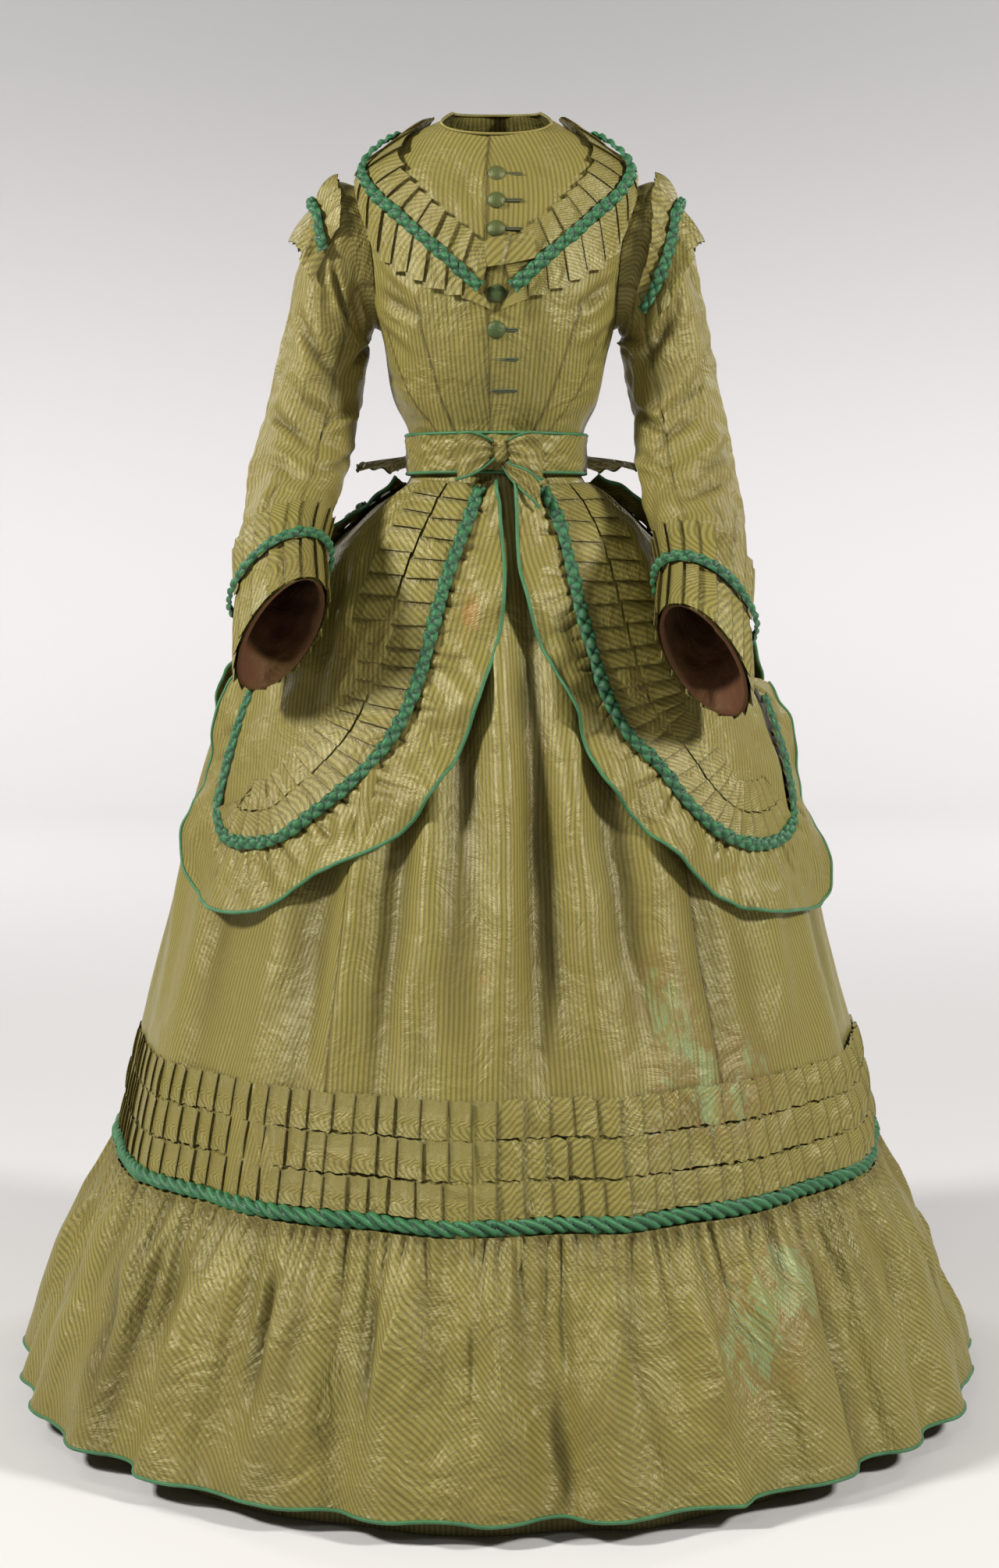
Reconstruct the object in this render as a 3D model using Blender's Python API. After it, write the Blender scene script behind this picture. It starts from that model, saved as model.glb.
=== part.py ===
"""A day dress of about 1868 in striped silk taffeta, filled out as it is worn, with nobody in it.

Metres, z up. The front faces -Y and the origin lies between the shoulders, where the wearer holds the dress up.
Heights in the tables are above the floor. Angles are degrees round the body, 0 at centre front and 90 at +X.
"""

import math
from collections import namedtuple

import bmesh
import bpy
from mathutils import Vector

# Driving sizes
SHOULDER_HEIGHT = 1.400
WAIST_SEAM = 1.089
CLOTH = 0.0020
SEAM_GAP = 0.0003
TRIM_GAP = 0.0008

Section = namedtuple("Section", "height half_width front back widest")

# The skirt over its hoop: widest a little behind the body, and fuller at the back
SKIRT_SECTIONS = (
    Section(1.0890, 0.0960, 0.0945, 0.0870, 0.000),
    Section(1.0600, 0.0980, 0.0965, 0.0900, 0.000),
    Section(1.0320, 0.1350, 0.1090, 0.1540, 0.005),
    Section(0.9900, 0.1820, 0.1290, 0.2120, 0.015),
    Section(0.9400, 0.2280, 0.1520, 0.2660, 0.030),
    Section(0.8800, 0.2700, 0.1760, 0.3120, 0.045),
    Section(0.8000, 0.3130, 0.2060, 0.3600, 0.065),
    Section(0.6900, 0.3510, 0.2440, 0.4150, 0.085),
    Section(0.5600, 0.3830, 0.2840, 0.4680, 0.100),
    Section(0.4200, 0.4220, 0.3240, 0.5220, 0.115),
    Section(0.2950, 0.4500, 0.3600, 0.5700, 0.125),
    Section(0.1500, 0.4830, 0.4000, 0.6250, 0.130),
    Section(0.0000, 0.5150, 0.4340, 0.6720, 0.135),
)
SKIRT_COLUMNS = 60
SKIRT_ROWS = (1.0890, 1.0600, 1.0320, 0.9880, 0.9350, 0.8600, 0.7350, 0.5450, 0.2950, 0.0000)
SKIRT_SEAMS = (-25.0, 35.0, 110.0, 250.0)

# Soft folds that hang from the hips. Each starts at its own height and is full 0.3 lower
Fold = namedtuple("Fold", "angle depth spread start")
SKIRT_FOLDS = (
    Fold(-78, -0.006, 7, 0.64), Fold(-58, 0.006, 6, 0.62), Fold(-44, -0.007, 6, 0.62), Fold(-17, -0.008, 5, 0.70),
    Fold(-7, 0.007, 5, 0.86), Fold(8, -0.009, 5, 0.88), Fold(17, 0.006, 4, 0.74), Fold(27, -0.005, 5, 0.68),
    Fold(48, -0.006, 6, 0.62), Fold(63, 0.005, 6, 0.62), Fold(80, -0.007, 7, 0.62), Fold(104, 0.008, 7, 0.66),
    Fold(120, -0.012, 6, 0.64), Fold(134, 0.010, 6, 0.62), Fold(150, -0.014, 6, 0.60), Fold(166, 0.012, 6, 0.60),
    Fold(182, -0.015, 6, 0.60), Fold(197, 0.012, 6, 0.60), Fold(212, -0.013, 6, 0.60), Fold(228, 0.010, 6, 0.62),
    Fold(243, -0.010, 6, 0.64), Fold(258, 0.006, 7, 0.66),
)
FOLD_RUN = 0.30

TORSO_SECTIONS = (
    Section(1.0600, 0.0960, 0.0945, 0.0870, 0.0),
    Section(1.0893, 0.0960, 0.0945, 0.0870, 0.0),
    Section(1.1150, 0.0985, 0.0975, 0.0885, 0.0),
    Section(1.1450, 0.1120, 0.1080, 0.0940, 0.0),
    Section(1.1800, 0.1205, 0.1190, 0.1000, 0.0),
    Section(1.2150, 0.1280, 0.1270, 0.1050, 0.0),
    Section(1.2500, 0.1370, 0.1290, 0.1110, 0.0),
    Section(1.2950, 0.1480, 0.1230, 0.1160, 0.0),
    Section(1.3450, 0.1580, 0.1090, 0.1150, 0.0),
    Section(1.3750, 0.1590, 0.0970, 0.1080, 0.0),
    Section(1.4000, 0.1480, 0.0860, 0.1000, 0.0),
    Section(1.4250, 0.1180, 0.0720, 0.0870, 0.0),
    Section(1.4480, 0.0810, 0.0600, 0.0720, 0.0),
    Section(1.4680, 0.0450, 0.0500, 0.0570, 0.0),
    Section(1.4800, 0.0400, 0.0460, 0.0500, 0.0),
)
TORSO_COLUMNS = 36
TORSO_SHARES = (0.0, 0.07, 0.17, 0.29, 0.42, 0.55, 0.67, 0.78, 0.89, 1.0)
NECK_FRONT = 1.434
NECK_SIDE = 1.466
NECK_BACK = 1.472
SIDE_SEAM = 99.0

ARMHOLE_HEIGHT = 1.308
ARMHOLE_DEPTH = 0.005
ARMHOLE_RISE = 0.080
ARMHOLE_REACH = 0.062

# Each row is one ring of the sleeve from armhole to cuff. The tilt is its slope seen from the front, the lean its
# slope seen from the side, and the rings swing forward over the skirt with the bent arm.
SleeveRing = namedtuple("SleeveRing", "across forward height half_width tilt half_depth lean")
SLEEVE_RINGS = (
    SleeveRing(0.1640, -0.004, 1.3030, 0.0780, -70, 0.0625, 0),
    SleeveRing(0.1795, -0.004, 1.2680, 0.0630, -53, 0.0630, 0),
    SleeveRing(0.1890, -0.004, 1.2150, 0.0490, -18, 0.0632, 0),
    SleeveRing(0.2040, 0.006, 1.1440, 0.0512, 0, 0.0620, 6),
    SleeveRing(0.2145, 0.028, 1.0920, 0.0533, 1, 0.0610, 13),
    SleeveRing(0.2225, 0.064, 1.0430, 0.0530, 7, 0.0620, 19),
    SleeveRing(0.2310, 0.104, 1.0010, 0.0535, 22, 0.0660, 25),
    SleeveRing(0.2320, 0.148, 0.9520, 0.0544, 33, 0.0710, 30),
    SleeveRing(0.2290, 0.187, 0.8920, 0.0610, 42, 0.0760, 36),
)
SLEEVE_COLUMNS = 14

BELT_TOP = 1.109
BELT_BOTTOM = 1.069
BELT_CLOTH = 0.0022

PLEATS_ROUND_SKIRT = 30
SKIRT_PLEAT_ROWS = ((0.4200, 0.3805), (0.3795, 0.3400), (0.3390, 0.3060))
SKIRT_RUCHE_HEIGHT = 0.2950
FLOUNCE_TOP = 0.2860
FLOUNCE_HEM = 0.0270
FLOUNCE_FLUTES = 28
FLOUNCE_COLUMNS = 3 * FLOUNCE_FLUTES

# The overskirt opens in front into two rounded tails. Each row is one station along a tail's trimmed edge, from the
# waist down, round the corner and up the side: where the ruche lies, then the piped edge of the frill outside it
TrimStation = namedtuple("TrimStation", "ruche_angle ruche_height edge_angle edge_height")
TAIL_TOP = 1.0540
TAIL_RIGHT = (
    TrimStation(8, 1.054, 1, 1.054), TrimStation(10, 1.020, -1, 1.015), TrimStation(13, 0.965, -2, 0.960),
    TrimStation(14.5, 0.910, -1, 0.905), TrimStation(15.5, 0.860, 2, 0.850), TrimStation(17.5, 0.812, 5, 0.798),
    TrimStation(21, 0.772, 9, 0.745), TrimStation(27, 0.732, 14, 0.698), TrimStation(33, 0.702, 22, 0.664),
    TrimStation(39.5, 0.674, 32, 0.634), TrimStation(47, 0.664, 43, 0.594), TrimStation(54.5, 0.668, 56, 0.594),
    TrimStation(59, 0.694, 67, 0.625), TrimStation(60, 0.740, 70, 0.695), TrimStation(60.5, 0.795, 71, 0.770),
    TrimStation(61, 0.850, 71.5, 0.845),
)
TAIL_LEFT = (
    TrimStation(24, 1.054, 10, 1.054), TrimStation(24, 1.015, 8, 1.010), TrimStation(22, 0.965, 7, 0.955),
    TrimStation(21, 0.915, 9, 0.902), TrimStation(21.5, 0.868, 12.5, 0.852), TrimStation(22.5, 0.825, 16, 0.800),
    TrimStation(25.5, 0.785, 18, 0.755), TrimStation(31, 0.750, 22, 0.718), TrimStation(35.5, 0.712, 28, 0.676),
    TrimStation(41.5, 0.679, 34.5, 0.636), TrimStation(49, 0.662, 44.5, 0.597), TrimStation(58, 0.662, 58, 0.585),
    TrimStation(66, 0.680, 75, 0.586), TrimStation(70, 0.722, 82, 0.660), TrimStation(72, 0.780, 84, 0.740),
    TrimStation(73, 0.840, 85, 0.825),
)
TAIL_CORNER = 12
TAIL_BAND = 0.032
BACK_HALF = (
    TrimStation(100, 1.054, 89, 1.054), TrimStation(99, 0.995, 89, 0.995), TrimStation(98, 0.935, 88, 0.925),
    TrimStation(101, 0.875, 88, 0.850), TrimStation(108, 0.825, 97, 0.790), TrimStation(119, 0.765, 109, 0.720),
    TrimStation(133, 0.712, 126, 0.658), TrimStation(149, 0.682, 145, 0.624), TrimStation(165, 0.666, 163, 0.606),
    TrimStation(180, 0.660, 180, 0.600),
)

# The V of trimming on the bodice, from centre front over the shoulder to centre back
CollarStation = namedtuple("CollarStation", "inner_angle inner_height ruche_angle ruche_height outer_angle outer_height")
COLLAR = (
    CollarStation(1.0, 1.302, 5.5, 1.262, 1.0, 1.238), CollarStation(6, 1.315, 11, 1.275, 11, 1.251),
    CollarStation(11, 1.328, 17, 1.291, 19, 1.257), CollarStation(17, 1.341, 24, 1.308, 28, 1.266),
    CollarStation(23, 1.356, 32, 1.327, 38, 1.278), CollarStation(29, 1.371, 40, 1.346, 48, 1.291),
    CollarStation(35, 1.385, 49, 1.363, 56, 1.310), CollarStation(41, 1.398, 58, 1.380, 60, 1.336),
    CollarStation(49, 1.414, 67, 1.394, 65, 1.362), CollarStation(58, 1.430, 75, 1.410, 73, 1.387),
    CollarStation(70, 1.445, 84, 1.426, 83, 1.397), CollarStation(84, 1.454, 93, 1.434, 93, 1.400),
    CollarStation(100, 1.455, 102, 1.431, 102, 1.395), CollarStation(112, 1.450, 111, 1.422, 109, 1.380),
    CollarStation(124, 1.442, 120, 1.410, 116, 1.366), CollarStation(136, 1.436, 131, 1.401, 126, 1.354),
    CollarStation(147, 1.431, 143, 1.395, 139, 1.348), CollarStation(158, 1.427, 155, 1.391, 153, 1.344),
    CollarStation(169, 1.425, 167, 1.389, 166, 1.342), CollarStation(179.4, 1.424, 179.4, 1.388, 179.4, 1.341),
)

BUTTON_HEIGHTS = (1.3880, 1.3585, 1.3270, 1.2570, 1.2190)
BUTTON_LIFT = 0.0004
BUTTON_RADIUS = 0.0100

Finish = namedtuple("Finish", "colour roughness")
STRIPED_SILK = Finish((0.300, 0.245, 0.075), 0.45)
GREEN_SATIN = Finish((0.035, 0.165, 0.080), 0.35)
BUTTON_SILK = Finish((0.110, 0.150, 0.050), 0.40)
BROWN_LINING = Finish((0.090, 0.045, 0.025), 0.70)


def material(name, finish):
    made = bpy.data.materials.new(name)
    made.use_nodes = True
    shader = made.node_tree.nodes["Principled BSDF"]
    shader.inputs["Base Color"].default_value = (*finish.colour, 1.0)
    shader.inputs["Roughness"].default_value = finish.roughness
    shader.inputs["Metallic"].default_value = 0.0
    return made


def smooth(share):
    """0 to 1 with level ends."""
    share = min(1.0, max(0.0, share))
    return share * share * (3 - 2 * share)


def read_table(rows, key, at):
    """A row of the table at any value of one column, on a smooth curve through the rows."""
    keys = [getattr(row, key) for row in rows]
    if keys[0] > keys[-1]:
        rows = rows[::-1]
        keys = keys[::-1]
    at = min(keys[-1], max(keys[0], at))
    i = max(j for j in range(len(keys) - 1) if keys[j] <= at)
    span = keys[i + 1] - keys[i]
    t = (at - keys[i]) / span
    found = []
    for column in range(len(rows[0])):
        low, high = rows[i][column], rows[i + 1][column]
        before = rows[max(i - 1, 0)]
        after = rows[min(i + 2, len(rows) - 1)]
        slope_low = (high - before[column]) / (keys[i + 1] - keys[max(i - 1, 0)])
        slope_high = (after[column] - low) / (keys[min(i + 2, len(rows) - 1)] - keys[i])
        found.append(
            low * (2 * t**3 - 3 * t**2 + 1)
            + high * (3 * t**2 - 2 * t**3)
            + span * slope_low * (t**3 - 2 * t**2 + t)
            + span * slope_high * (t**3 - t**2)
        )
    return type(rows[0])(*found)


def round_body(section, angle, fullness=1.0):
    """The point at that angle of a section whose front and back halves differ."""
    turn = math.radians(angle)
    sine, cosine = math.sin(turn), math.cos(turn)
    half_depth = section.front + section.widest if cosine > 0 else section.back - section.widest
    across = section.half_width * math.copysign(abs(sine) ** fullness, sine)
    along = section.widest - half_depth * math.copysign(abs(cosine) ** fullness, cosine)
    return Vector((across, along, section.height))


class Cloth:
    """A panel or tube of cloth as rows of outer points. Trims are laid on it by column and row, moved out."""

    def __init__(self, rows, closed):
        self.rows = rows
        self.closed = closed
        self.width = len(rows[0])

    def corner(self, row, column):
        row = min(len(self.rows) - 1, max(0, row))
        if self.closed:
            return self.rows[row][column % self.width]
        return self.rows[row][min(self.width - 1, max(0, column))]

    def point(self, column, row):
        i, j = math.floor(row), math.floor(column)
        down, along = row - i, column - j
        upper = self.corner(i, j).lerp(self.corner(i, j + 1), along)
        lower = self.corner(i + 1, j).lerp(self.corner(i + 1, j + 1), along)
        return upper.lerp(lower, down)

    def normal(self, column, row):
        reach = 0.5
        if not self.closed:
            column = min(self.width - 1 - reach, max(reach, column))
        row = min(len(self.rows) - 1 - reach, max(reach, row))
        along = self.point(column + reach, row) - self.point(column - reach, row)
        down = self.point(column, row + reach) - self.point(column, row - reach)
        return down.cross(along).normalized()

    def at(self, column, row, out=0.0):
        return self.point(column, row) + out * self.normal(column, row)

    def piece(self, start, end):
        """The columns from start to end, drawn in by half a seam gap at both cut ends."""
        width = (self.point(start + 1, len(self.rows) / 2) - self.point(start, len(self.rows) / 2)).length
        inset = 0.5 * SEAM_GAP / width
        columns = [start + inset, *range(math.floor(start) + 1, math.ceil(end)), end - inset]
        count = len(self.rows)
        outer = [[self.at(c, r) for c in columns] for r in range(count)]
        inner = [[self.at(c, r, -CLOTH) for c in columns] for r in range(count)]
        return outer, inner


def add_solid(name, outer, inner, finish, closed=False):
    """One closed body between two sheets of points, row by row."""
    rows, columns = len(outer), len(outer[0])
    points = [p for row in outer for p in row] + [p for row in inner for p in row]
    sheet = rows * columns
    faces = []

    def corner(side, row, column):
        return side * sheet + row * columns + column % columns

    spans = columns if closed else columns - 1
    for r in range(rows - 1):
        for c in range(spans):
            faces.append([corner(0, r, c), corner(0, r + 1, c), corner(0, r + 1, c + 1), corner(0, r, c + 1)])
            faces.append([corner(1, r, c), corner(1, r, c + 1), corner(1, r + 1, c + 1), corner(1, r + 1, c)])
    for c in range(spans):
        faces.append([corner(0, 0, c), corner(0, 0, c + 1), corner(1, 0, c + 1), corner(1, 0, c)])
        last = rows - 1
        faces.append([corner(0, last, c), corner(1, last, c), corner(1, last, c + 1), corner(0, last, c + 1)])
    if not closed:
        last = columns - 1
        for r in range(rows - 1):
            faces.append([corner(0, r, 0), corner(1, r, 0), corner(1, r + 1, 0), corner(0, r + 1, 0)])
            faces.append([corner(0, r, last), corner(0, r + 1, last), corner(1, r + 1, last), corner(1, r, last)])
    return add_mesh(name, points, faces, finish)


def add_mesh(name, points, faces, finish):
    """A mesh object whose points are heights above the floor, moved down so that the shoulders are at the origin."""
    drop = Vector((0, 0, SHOULDER_HEIGHT))
    mesh = bpy.data.meshes.new(name)
    mesh.from_pydata([p - drop for p in points], [], faces)
    shape = bmesh.new()
    shape.from_mesh(mesh)
    bmesh.ops.triangulate(shape, faces=shape.faces)
    bmesh.ops.recalc_face_normals(shape, faces=shape.faces)
    shape.to_mesh(mesh)
    shape.free()
    if finish:
        mesh.materials.append(material(name, finish))
    mesh.shade_smooth()
    mesh.set_sharp_from_angle(angle=math.radians(40))
    made = bpy.data.objects.new(name, mesh)
    bpy.context.scene.collection.objects.link(made)
    return made


def add_rope(name, centres, normals, profile, finish, closed=False):
    """A closed profile of (side, out) pairs swept along a line that lies on cloth."""
    rings = []
    count = len(centres)
    for i, (centre, normal) in enumerate(zip(centres, normals)):
        before = centres[(i - 1) % count] if closed else centres[max(i - 1, 0)]
        after = centres[(i + 1) % count] if closed else centres[min(i + 1, count - 1)]
        side = normal.cross(after - before).normalized()
        rings.append([centre + side * s + normal * out for s, out in profile])
    points = [p for ring in rings for p in ring]
    sides = len(profile)
    faces = []
    for i in range(count if closed else count - 1):
        for s in range(sides):
            first, second = i * sides, (i + 1) % count * sides
            t = (s + 1) % sides
            faces.append([first + s, first + t, second + t, second + s])
    if not closed:
        faces.append([s for s in reversed(range(sides))])
        faces.append([(count - 1) * sides + s for s in range(sides)])
    return add_mesh(name, points, faces, finish)


def ruche_profile(half_width=0.0075, rise=0.0070, gap=TRIM_GAP):
    """A flat-bottomed dome, the outer shape of a puffed ribbon."""
    return (half_width, gap), (0.55 * half_width, gap + rise), (-0.55 * half_width, gap + rise), (-half_width, gap)


def cord_profile(radius, lift, sides=4):
    """A small round cord whose centre stands lift above the line."""
    turns = [math.pi / 2 + 2 * math.pi * s / sides for s in range(sides)]
    return [(radius * math.cos(t), lift + radius * math.sin(t)) for t in turns]


def pleated_strip(
    name, place, start, end, count, finish, gap=TRIM_GAP, fold=0.0042, closed=False, every=None, rows=(0.0, 1.0)
):
    """A strip of knife pleats over a plain inside. place(along, across, out) lays a point on the cloth beneath.

    every is the spacing of the columns beneath and rows are the places across, where the strip bends with the cloth."""
    step = (end - start) / count
    thin = 0.0012
    lip = 0.04
    marks = [(start + k * step, gap + fold) for k in range(count)]
    marks += [(start + (k + 1 - lip) * step, gap + thin) for k in range(count)]
    between = [start + (k + 0.5) * step for k in range(count)]
    if every:
        between = [start + i * every for i in range(1, round((end - start) / every))]
    for along in between:
        share = (along - start) / step % 1
        if 0.05 < share < 0.9:
            marks.append((along, gap + fold + (thin - fold) * share / (1 - lip)))
    marks.sort()
    if not closed:
        marks[-1] = (end, gap + thin)
    outer = [[place(along, across, out) for along, out in marks] for across in rows]
    inner = [[place(along, across, gap) for along, _ in marks] for across in rows]
    return add_solid(name, outer, inner, finish, closed)


def station(rows, at):
    """The row at any place along a table of stations."""
    at = min(len(rows) - 1.0, max(0.0, at))
    i = min(len(rows) - 2, math.floor(at))
    share = at - i
    return type(rows[0])(*(a + share * (b - a) for a, b in zip(rows[i], rows[i + 1])))


# The skirt: gored breadths of striped silk, seamed from waist to floor
def fold_depth(angle, height):
    total = 0.0
    for fold in SKIRT_FOLDS:
        share = smooth((fold.start - height) / FOLD_RUN)
        away = (angle - fold.angle + 180) % 360 - 180
        total += share * fold.depth * math.exp(-((away / fold.spread) ** 2))
    return total


def skirt_surface(angle, height):
    section = read_table(SKIRT_SECTIONS, "height", height)
    point = round_body(section, angle)
    away = Vector((math.sin(math.radians(angle)), -math.cos(math.radians(angle)), 0))
    return point + away * fold_depth(angle, height)


def make_skirt_cloth():
    step = 360 / SKIRT_COLUMNS
    return Cloth([[skirt_surface(c * step, h) for c in range(SKIRT_COLUMNS)] for h in SKIRT_ROWS], True)


def skirt_row(height):
    for i in range(len(SKIRT_ROWS) - 1):
        if height >= SKIRT_ROWS[i + 1]:
            return i + (SKIRT_ROWS[i] - height) / (SKIRT_ROWS[i] - SKIRT_ROWS[i + 1])
    return len(SKIRT_ROWS) - 1


def on_skirt(cloth, angle, height, out=0.0):
    return cloth.at(angle * SKIRT_COLUMNS / 360, skirt_row(height), out)


def skirt_normal(cloth, angle, height):
    return cloth.normal(angle * SKIRT_COLUMNS / 360, skirt_row(height))


def build_skirt(cloth, silk):
    names = ("skirt_front", "skirt_side_left", "skirt_back", "skirt_side_right")
    ends = (*SKIRT_SEAMS, SKIRT_SEAMS[0] + 360)
    for name, start, end in zip(names, ends, ends[1:]):
        outer, inner = cloth.piece(start * SKIRT_COLUMNS / 360, end * SKIRT_COLUMNS / 360)
        add_solid(name, outer, inner, silk)


def build_skirt_pleats(cloth, silk):
    for number, (top, bottom) in enumerate(SKIRT_PLEAT_ROWS, 1):
        def place(angle, across, out, top=top, bottom=bottom):
            return on_skirt(cloth, angle, top + across * (bottom - top), out)

        pleated_strip(f"skirt_pleats_{number}", place, 0, 360, PLEATS_ROUND_SKIRT, silk, gap=0.0020, closed=True, every=6.0)


def build_skirt_ruche(cloth, satin):
    angles = [c * 360 / SKIRT_COLUMNS for c in range(SKIRT_COLUMNS)]
    centres = [on_skirt(cloth, a, SKIRT_RUCHE_HEIGHT) for a in angles]
    normals = [skirt_normal(cloth, a, SKIRT_RUCHE_HEIGHT) for a in angles]
    add_rope("skirt_ruche", centres, normals, ruche_profile(gap=0.0008), satin, closed=True)


# The overskirt: panels that fan from the waist, each with a ruche and a gathered frill along its edge
def moved_in(stations, at, distance, side):
    """The angle and height at a distance inside the ruche of a trimmed edge."""
    here = station(stations, at)
    before, after = station(stations, at - 0.5), station(stations, at + 0.5)
    reach = round_body(read_table(SKIRT_SECTIONS, "height", here.ruche_height), here.ruche_angle)
    radius = math.hypot(reach.x, reach.y) * math.radians(1)
    along = Vector(((after.ruche_angle - before.ruche_angle) * radius, after.ruche_height - before.ruche_height))
    along.normalize()
    angle = here.ruche_angle - along.y * distance / radius
    height = min(TAIL_TOP, here.ruche_height + along.x * distance)
    return side * angle, height


def overskirt_panel(skirt, stations, side, spine, bands, out):
    """Rows of a panel from its spine at the waist to just inside the frill."""
    rows = []
    for share in (0.0, 0.11, 0.26, 0.46, 0.72) if bands else (0.0, 0.09, 0.2, 0.34, 0.5, 0.66, 0.83):
        row = []
        for j in range(len(stations)):
            top = spine[0] + (spine[1] - spine[0]) * j / (len(stations) - 1)
            angle, height = moved_in(stations, j, bands * TAIL_BAND, side)
            row.append((side * top + share * (angle - side * top), TAIL_TOP + share * (height - TAIL_TOP)))
        rows.append(row)
    for band in range(bands, -1, -1):
        distance = band * TAIL_BAND if band else 0.0004
        rows.append([moved_in(stations, j, distance, side) for j in range(len(stations))])
    if side < 0:
        rows = [row[::-1] for row in rows]
    # The hidden top edge sits close on the skirt, where it is sewn in under the belt
    outs = [0.0027 if bands else out] + [out] * len(rows)
    return Cloth([[on_skirt(skirt, a, h, o) for a, h in row] for row, o in zip(rows, outs)], False)


def build_panel(name, cloth, finish):
    last = cloth.width - 1
    rows = range(len(cloth.rows))
    outer = [[cloth.at(c, r) for c in range(last + 1)] for r in rows]
    inner = [[cloth.at(c, r, -CLOTH) for c in range(last + 1)] for r in rows]
    return add_solid(name, outer, inner, finish)


def build_frill(name, skirt, stations, side, base, finish):
    """The gathered border outside the ruche. Returns the points along its edge and which way is out."""
    marks = [0.5 * i for i in range(2 * len(stations) - 1)]

    def row(share, lift, wave, inside):
        points = []
        for i, at in enumerate(marks):
            here = station(stations, at)
            angle = here.ruche_angle + share * (here.edge_angle - here.ruche_angle)
            height = here.ruche_height + share * (here.edge_height - here.ruche_height)
            up = wave * (0, 1, 0, -1)[i % 4]
            points.append(on_skirt(skirt, side * angle, height, base + lift + up - (CLOTH if inside else 0)))
        return points

    profile = ((0.02, 0.0, 0.0), (1.0, 0.0070, 0.0058))
    outer = [row(*step, False) for step in profile]
    inner = [row(*step, True) for step in profile]
    add_solid(name, outer, inner, finish)
    return [0.5 * (a + b) for a, b in zip(outer[-1], inner[-1])], [a - b for a, b in zip(outer[-1], inner[-1])]


def add_edge_piping(name, centres, outward, finish, side, radius=0.0016):
    """A thin cord just past the edge of a frill."""
    moved = []
    for i, centre in enumerate(centres):
        after = centres[min(i + 1, len(centres) - 1)] - centres[max(i - 1, 0)]
        away = side * after.cross(outward[i])
        moved.append(centre + away.normalized() * (0.87 * radius + 0.0005))
    add_rope(name, moved, [o.normalized() for o in outward], cord_profile(radius, 0.0, sides=3), finish)


def build_overskirt_side(skirt, word, stations, side, spine, bands, silk, satin):
    out = 0.0060 if bands else 0.0078
    ruche_lift = 0.0020 if bands else 0.0042
    corner = stations[:TAIL_CORNER + 1] if bands else stations
    cloth = overskirt_panel(skirt, corner, side, spine, bands, out)
    build_panel(f"overskirt_{word}", cloth, silk)
    edge, outward = build_frill(f"overskirt_frill_{word}", skirt, stations, side, out, silk)
    add_edge_piping(f"overskirt_piping_{word}", edge, outward, satin, side)
    places = [station(stations, at) for at in (0.7, *range(1, len(stations) - 1), len(stations) - 1.4)]
    lifts = (0.0036, 0.0030, *[ruche_lift] * (len(places) - 2))
    centres = [on_skirt(skirt, side * p.ruche_angle, p.ruche_height, out + lift) for p, lift in zip(places, lifts)]
    normals = [skirt_normal(skirt, side * p.ruche_angle, p.ruche_height) for p in places]
    add_rope(f"overskirt_ruche_{word}", centres, normals, ruche_profile(), satin)
    if bands:
        last = len(cloth.rows) - 1

        def place(along, across, up):
            row = last - 0.30 - (1 - across) * 1.68
            return cloth.at(along if side > 0 else cloth.width - 1 - along, row, up)

        pleated_strip(
            f"overskirt_pleats_{word}", place, 0, cloth.width - 1, 8, silk, every=1.0, rows=(0.0, 0.583, 1.0)
        )


# The gathered flounce round the hem
FlounceRow = namedtuple("FlounceRow", "height lift wave")
FLOUNCE_ROWS = (
    FlounceRow(FLOUNCE_TOP, 0.0055, 0.0),
    FlounceRow(0.2200, 0.0200, 0.0100),
    FlounceRow(FLOUNCE_HEM, 0.0400, 0.0160),
)


def flounce_point(cloth, column, row, inside):
    angle = column * 360 / FLOUNCE_COLUMNS
    turn = math.radians(angle)
    phase = FLOUNCE_FLUTES * turn + 0.5 * math.sin(5 * turn)
    swell = 1 + 0.3 * math.sin(7 * turn + 1)
    wave = row.wave * swell * math.cos(phase)
    away = row.lift + 0.4 * row.lift * abs(math.sin(turn)) + wave - (CLOTH if inside else 0)
    base = on_skirt(cloth, angle, row.height)
    flat = skirt_normal(cloth, angle, row.height)
    flat.z = 0
    return base + flat.normalized() * away


def build_flounce(cloth, silk, satin):
    columns = range(FLOUNCE_COLUMNS)
    outer = [[flounce_point(cloth, c, row, False) for c in columns] for row in FLOUNCE_ROWS]
    inner = [[flounce_point(cloth, c, row, True) for c in columns] for row in FLOUNCE_ROWS]
    add_solid("flounce", outer, inner, silk, closed=True)
    hem = [flounce_point(cloth, c, FLOUNCE_ROWS[-1], False) for c in range(FLOUNCE_COLUMNS)]
    drop = Vector((0, 0, 0.0018))
    normals = [skirt_normal(cloth, c * 360 / FLOUNCE_COLUMNS, FLOUNCE_HEM) for c in range(FLOUNCE_COLUMNS)]
    centres = [p - drop - n * 0.5 * CLOTH for p, n in zip(hem, normals)]
    add_rope("flounce_piping", centres, normals, cord_profile(0.0016, 0.0, sides=3), satin, closed=True)


# The bodice: two buttoned fronts and a back, shaped in at the waist
def neck_height(angle):
    turn = math.radians(angle)
    if math.cos(turn) > 0:
        return NECK_SIDE + (NECK_FRONT - NECK_SIDE) * math.cos(turn) ** 1.6
    return NECK_SIDE + (NECK_BACK - NECK_SIDE) * abs(math.cos(turn))


def torso_surface(angle, height):
    return round_body(read_table(TORSO_SECTIONS, "height", height), angle, fullness=0.92)


def make_torso_cloth():
    step = 360 / TORSO_COLUMNS
    rows = []
    for share in reversed(TORSO_SHARES):
        row = []
        for c in range(TORSO_COLUMNS):
            top = neck_height(c * step)
            row.append(torso_surface(c * step, WAIST_SEAM + SEAM_GAP + share * (top - WAIST_SEAM - SEAM_GAP)))
        rows.append(row)
    return Cloth(rows, True)


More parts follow.
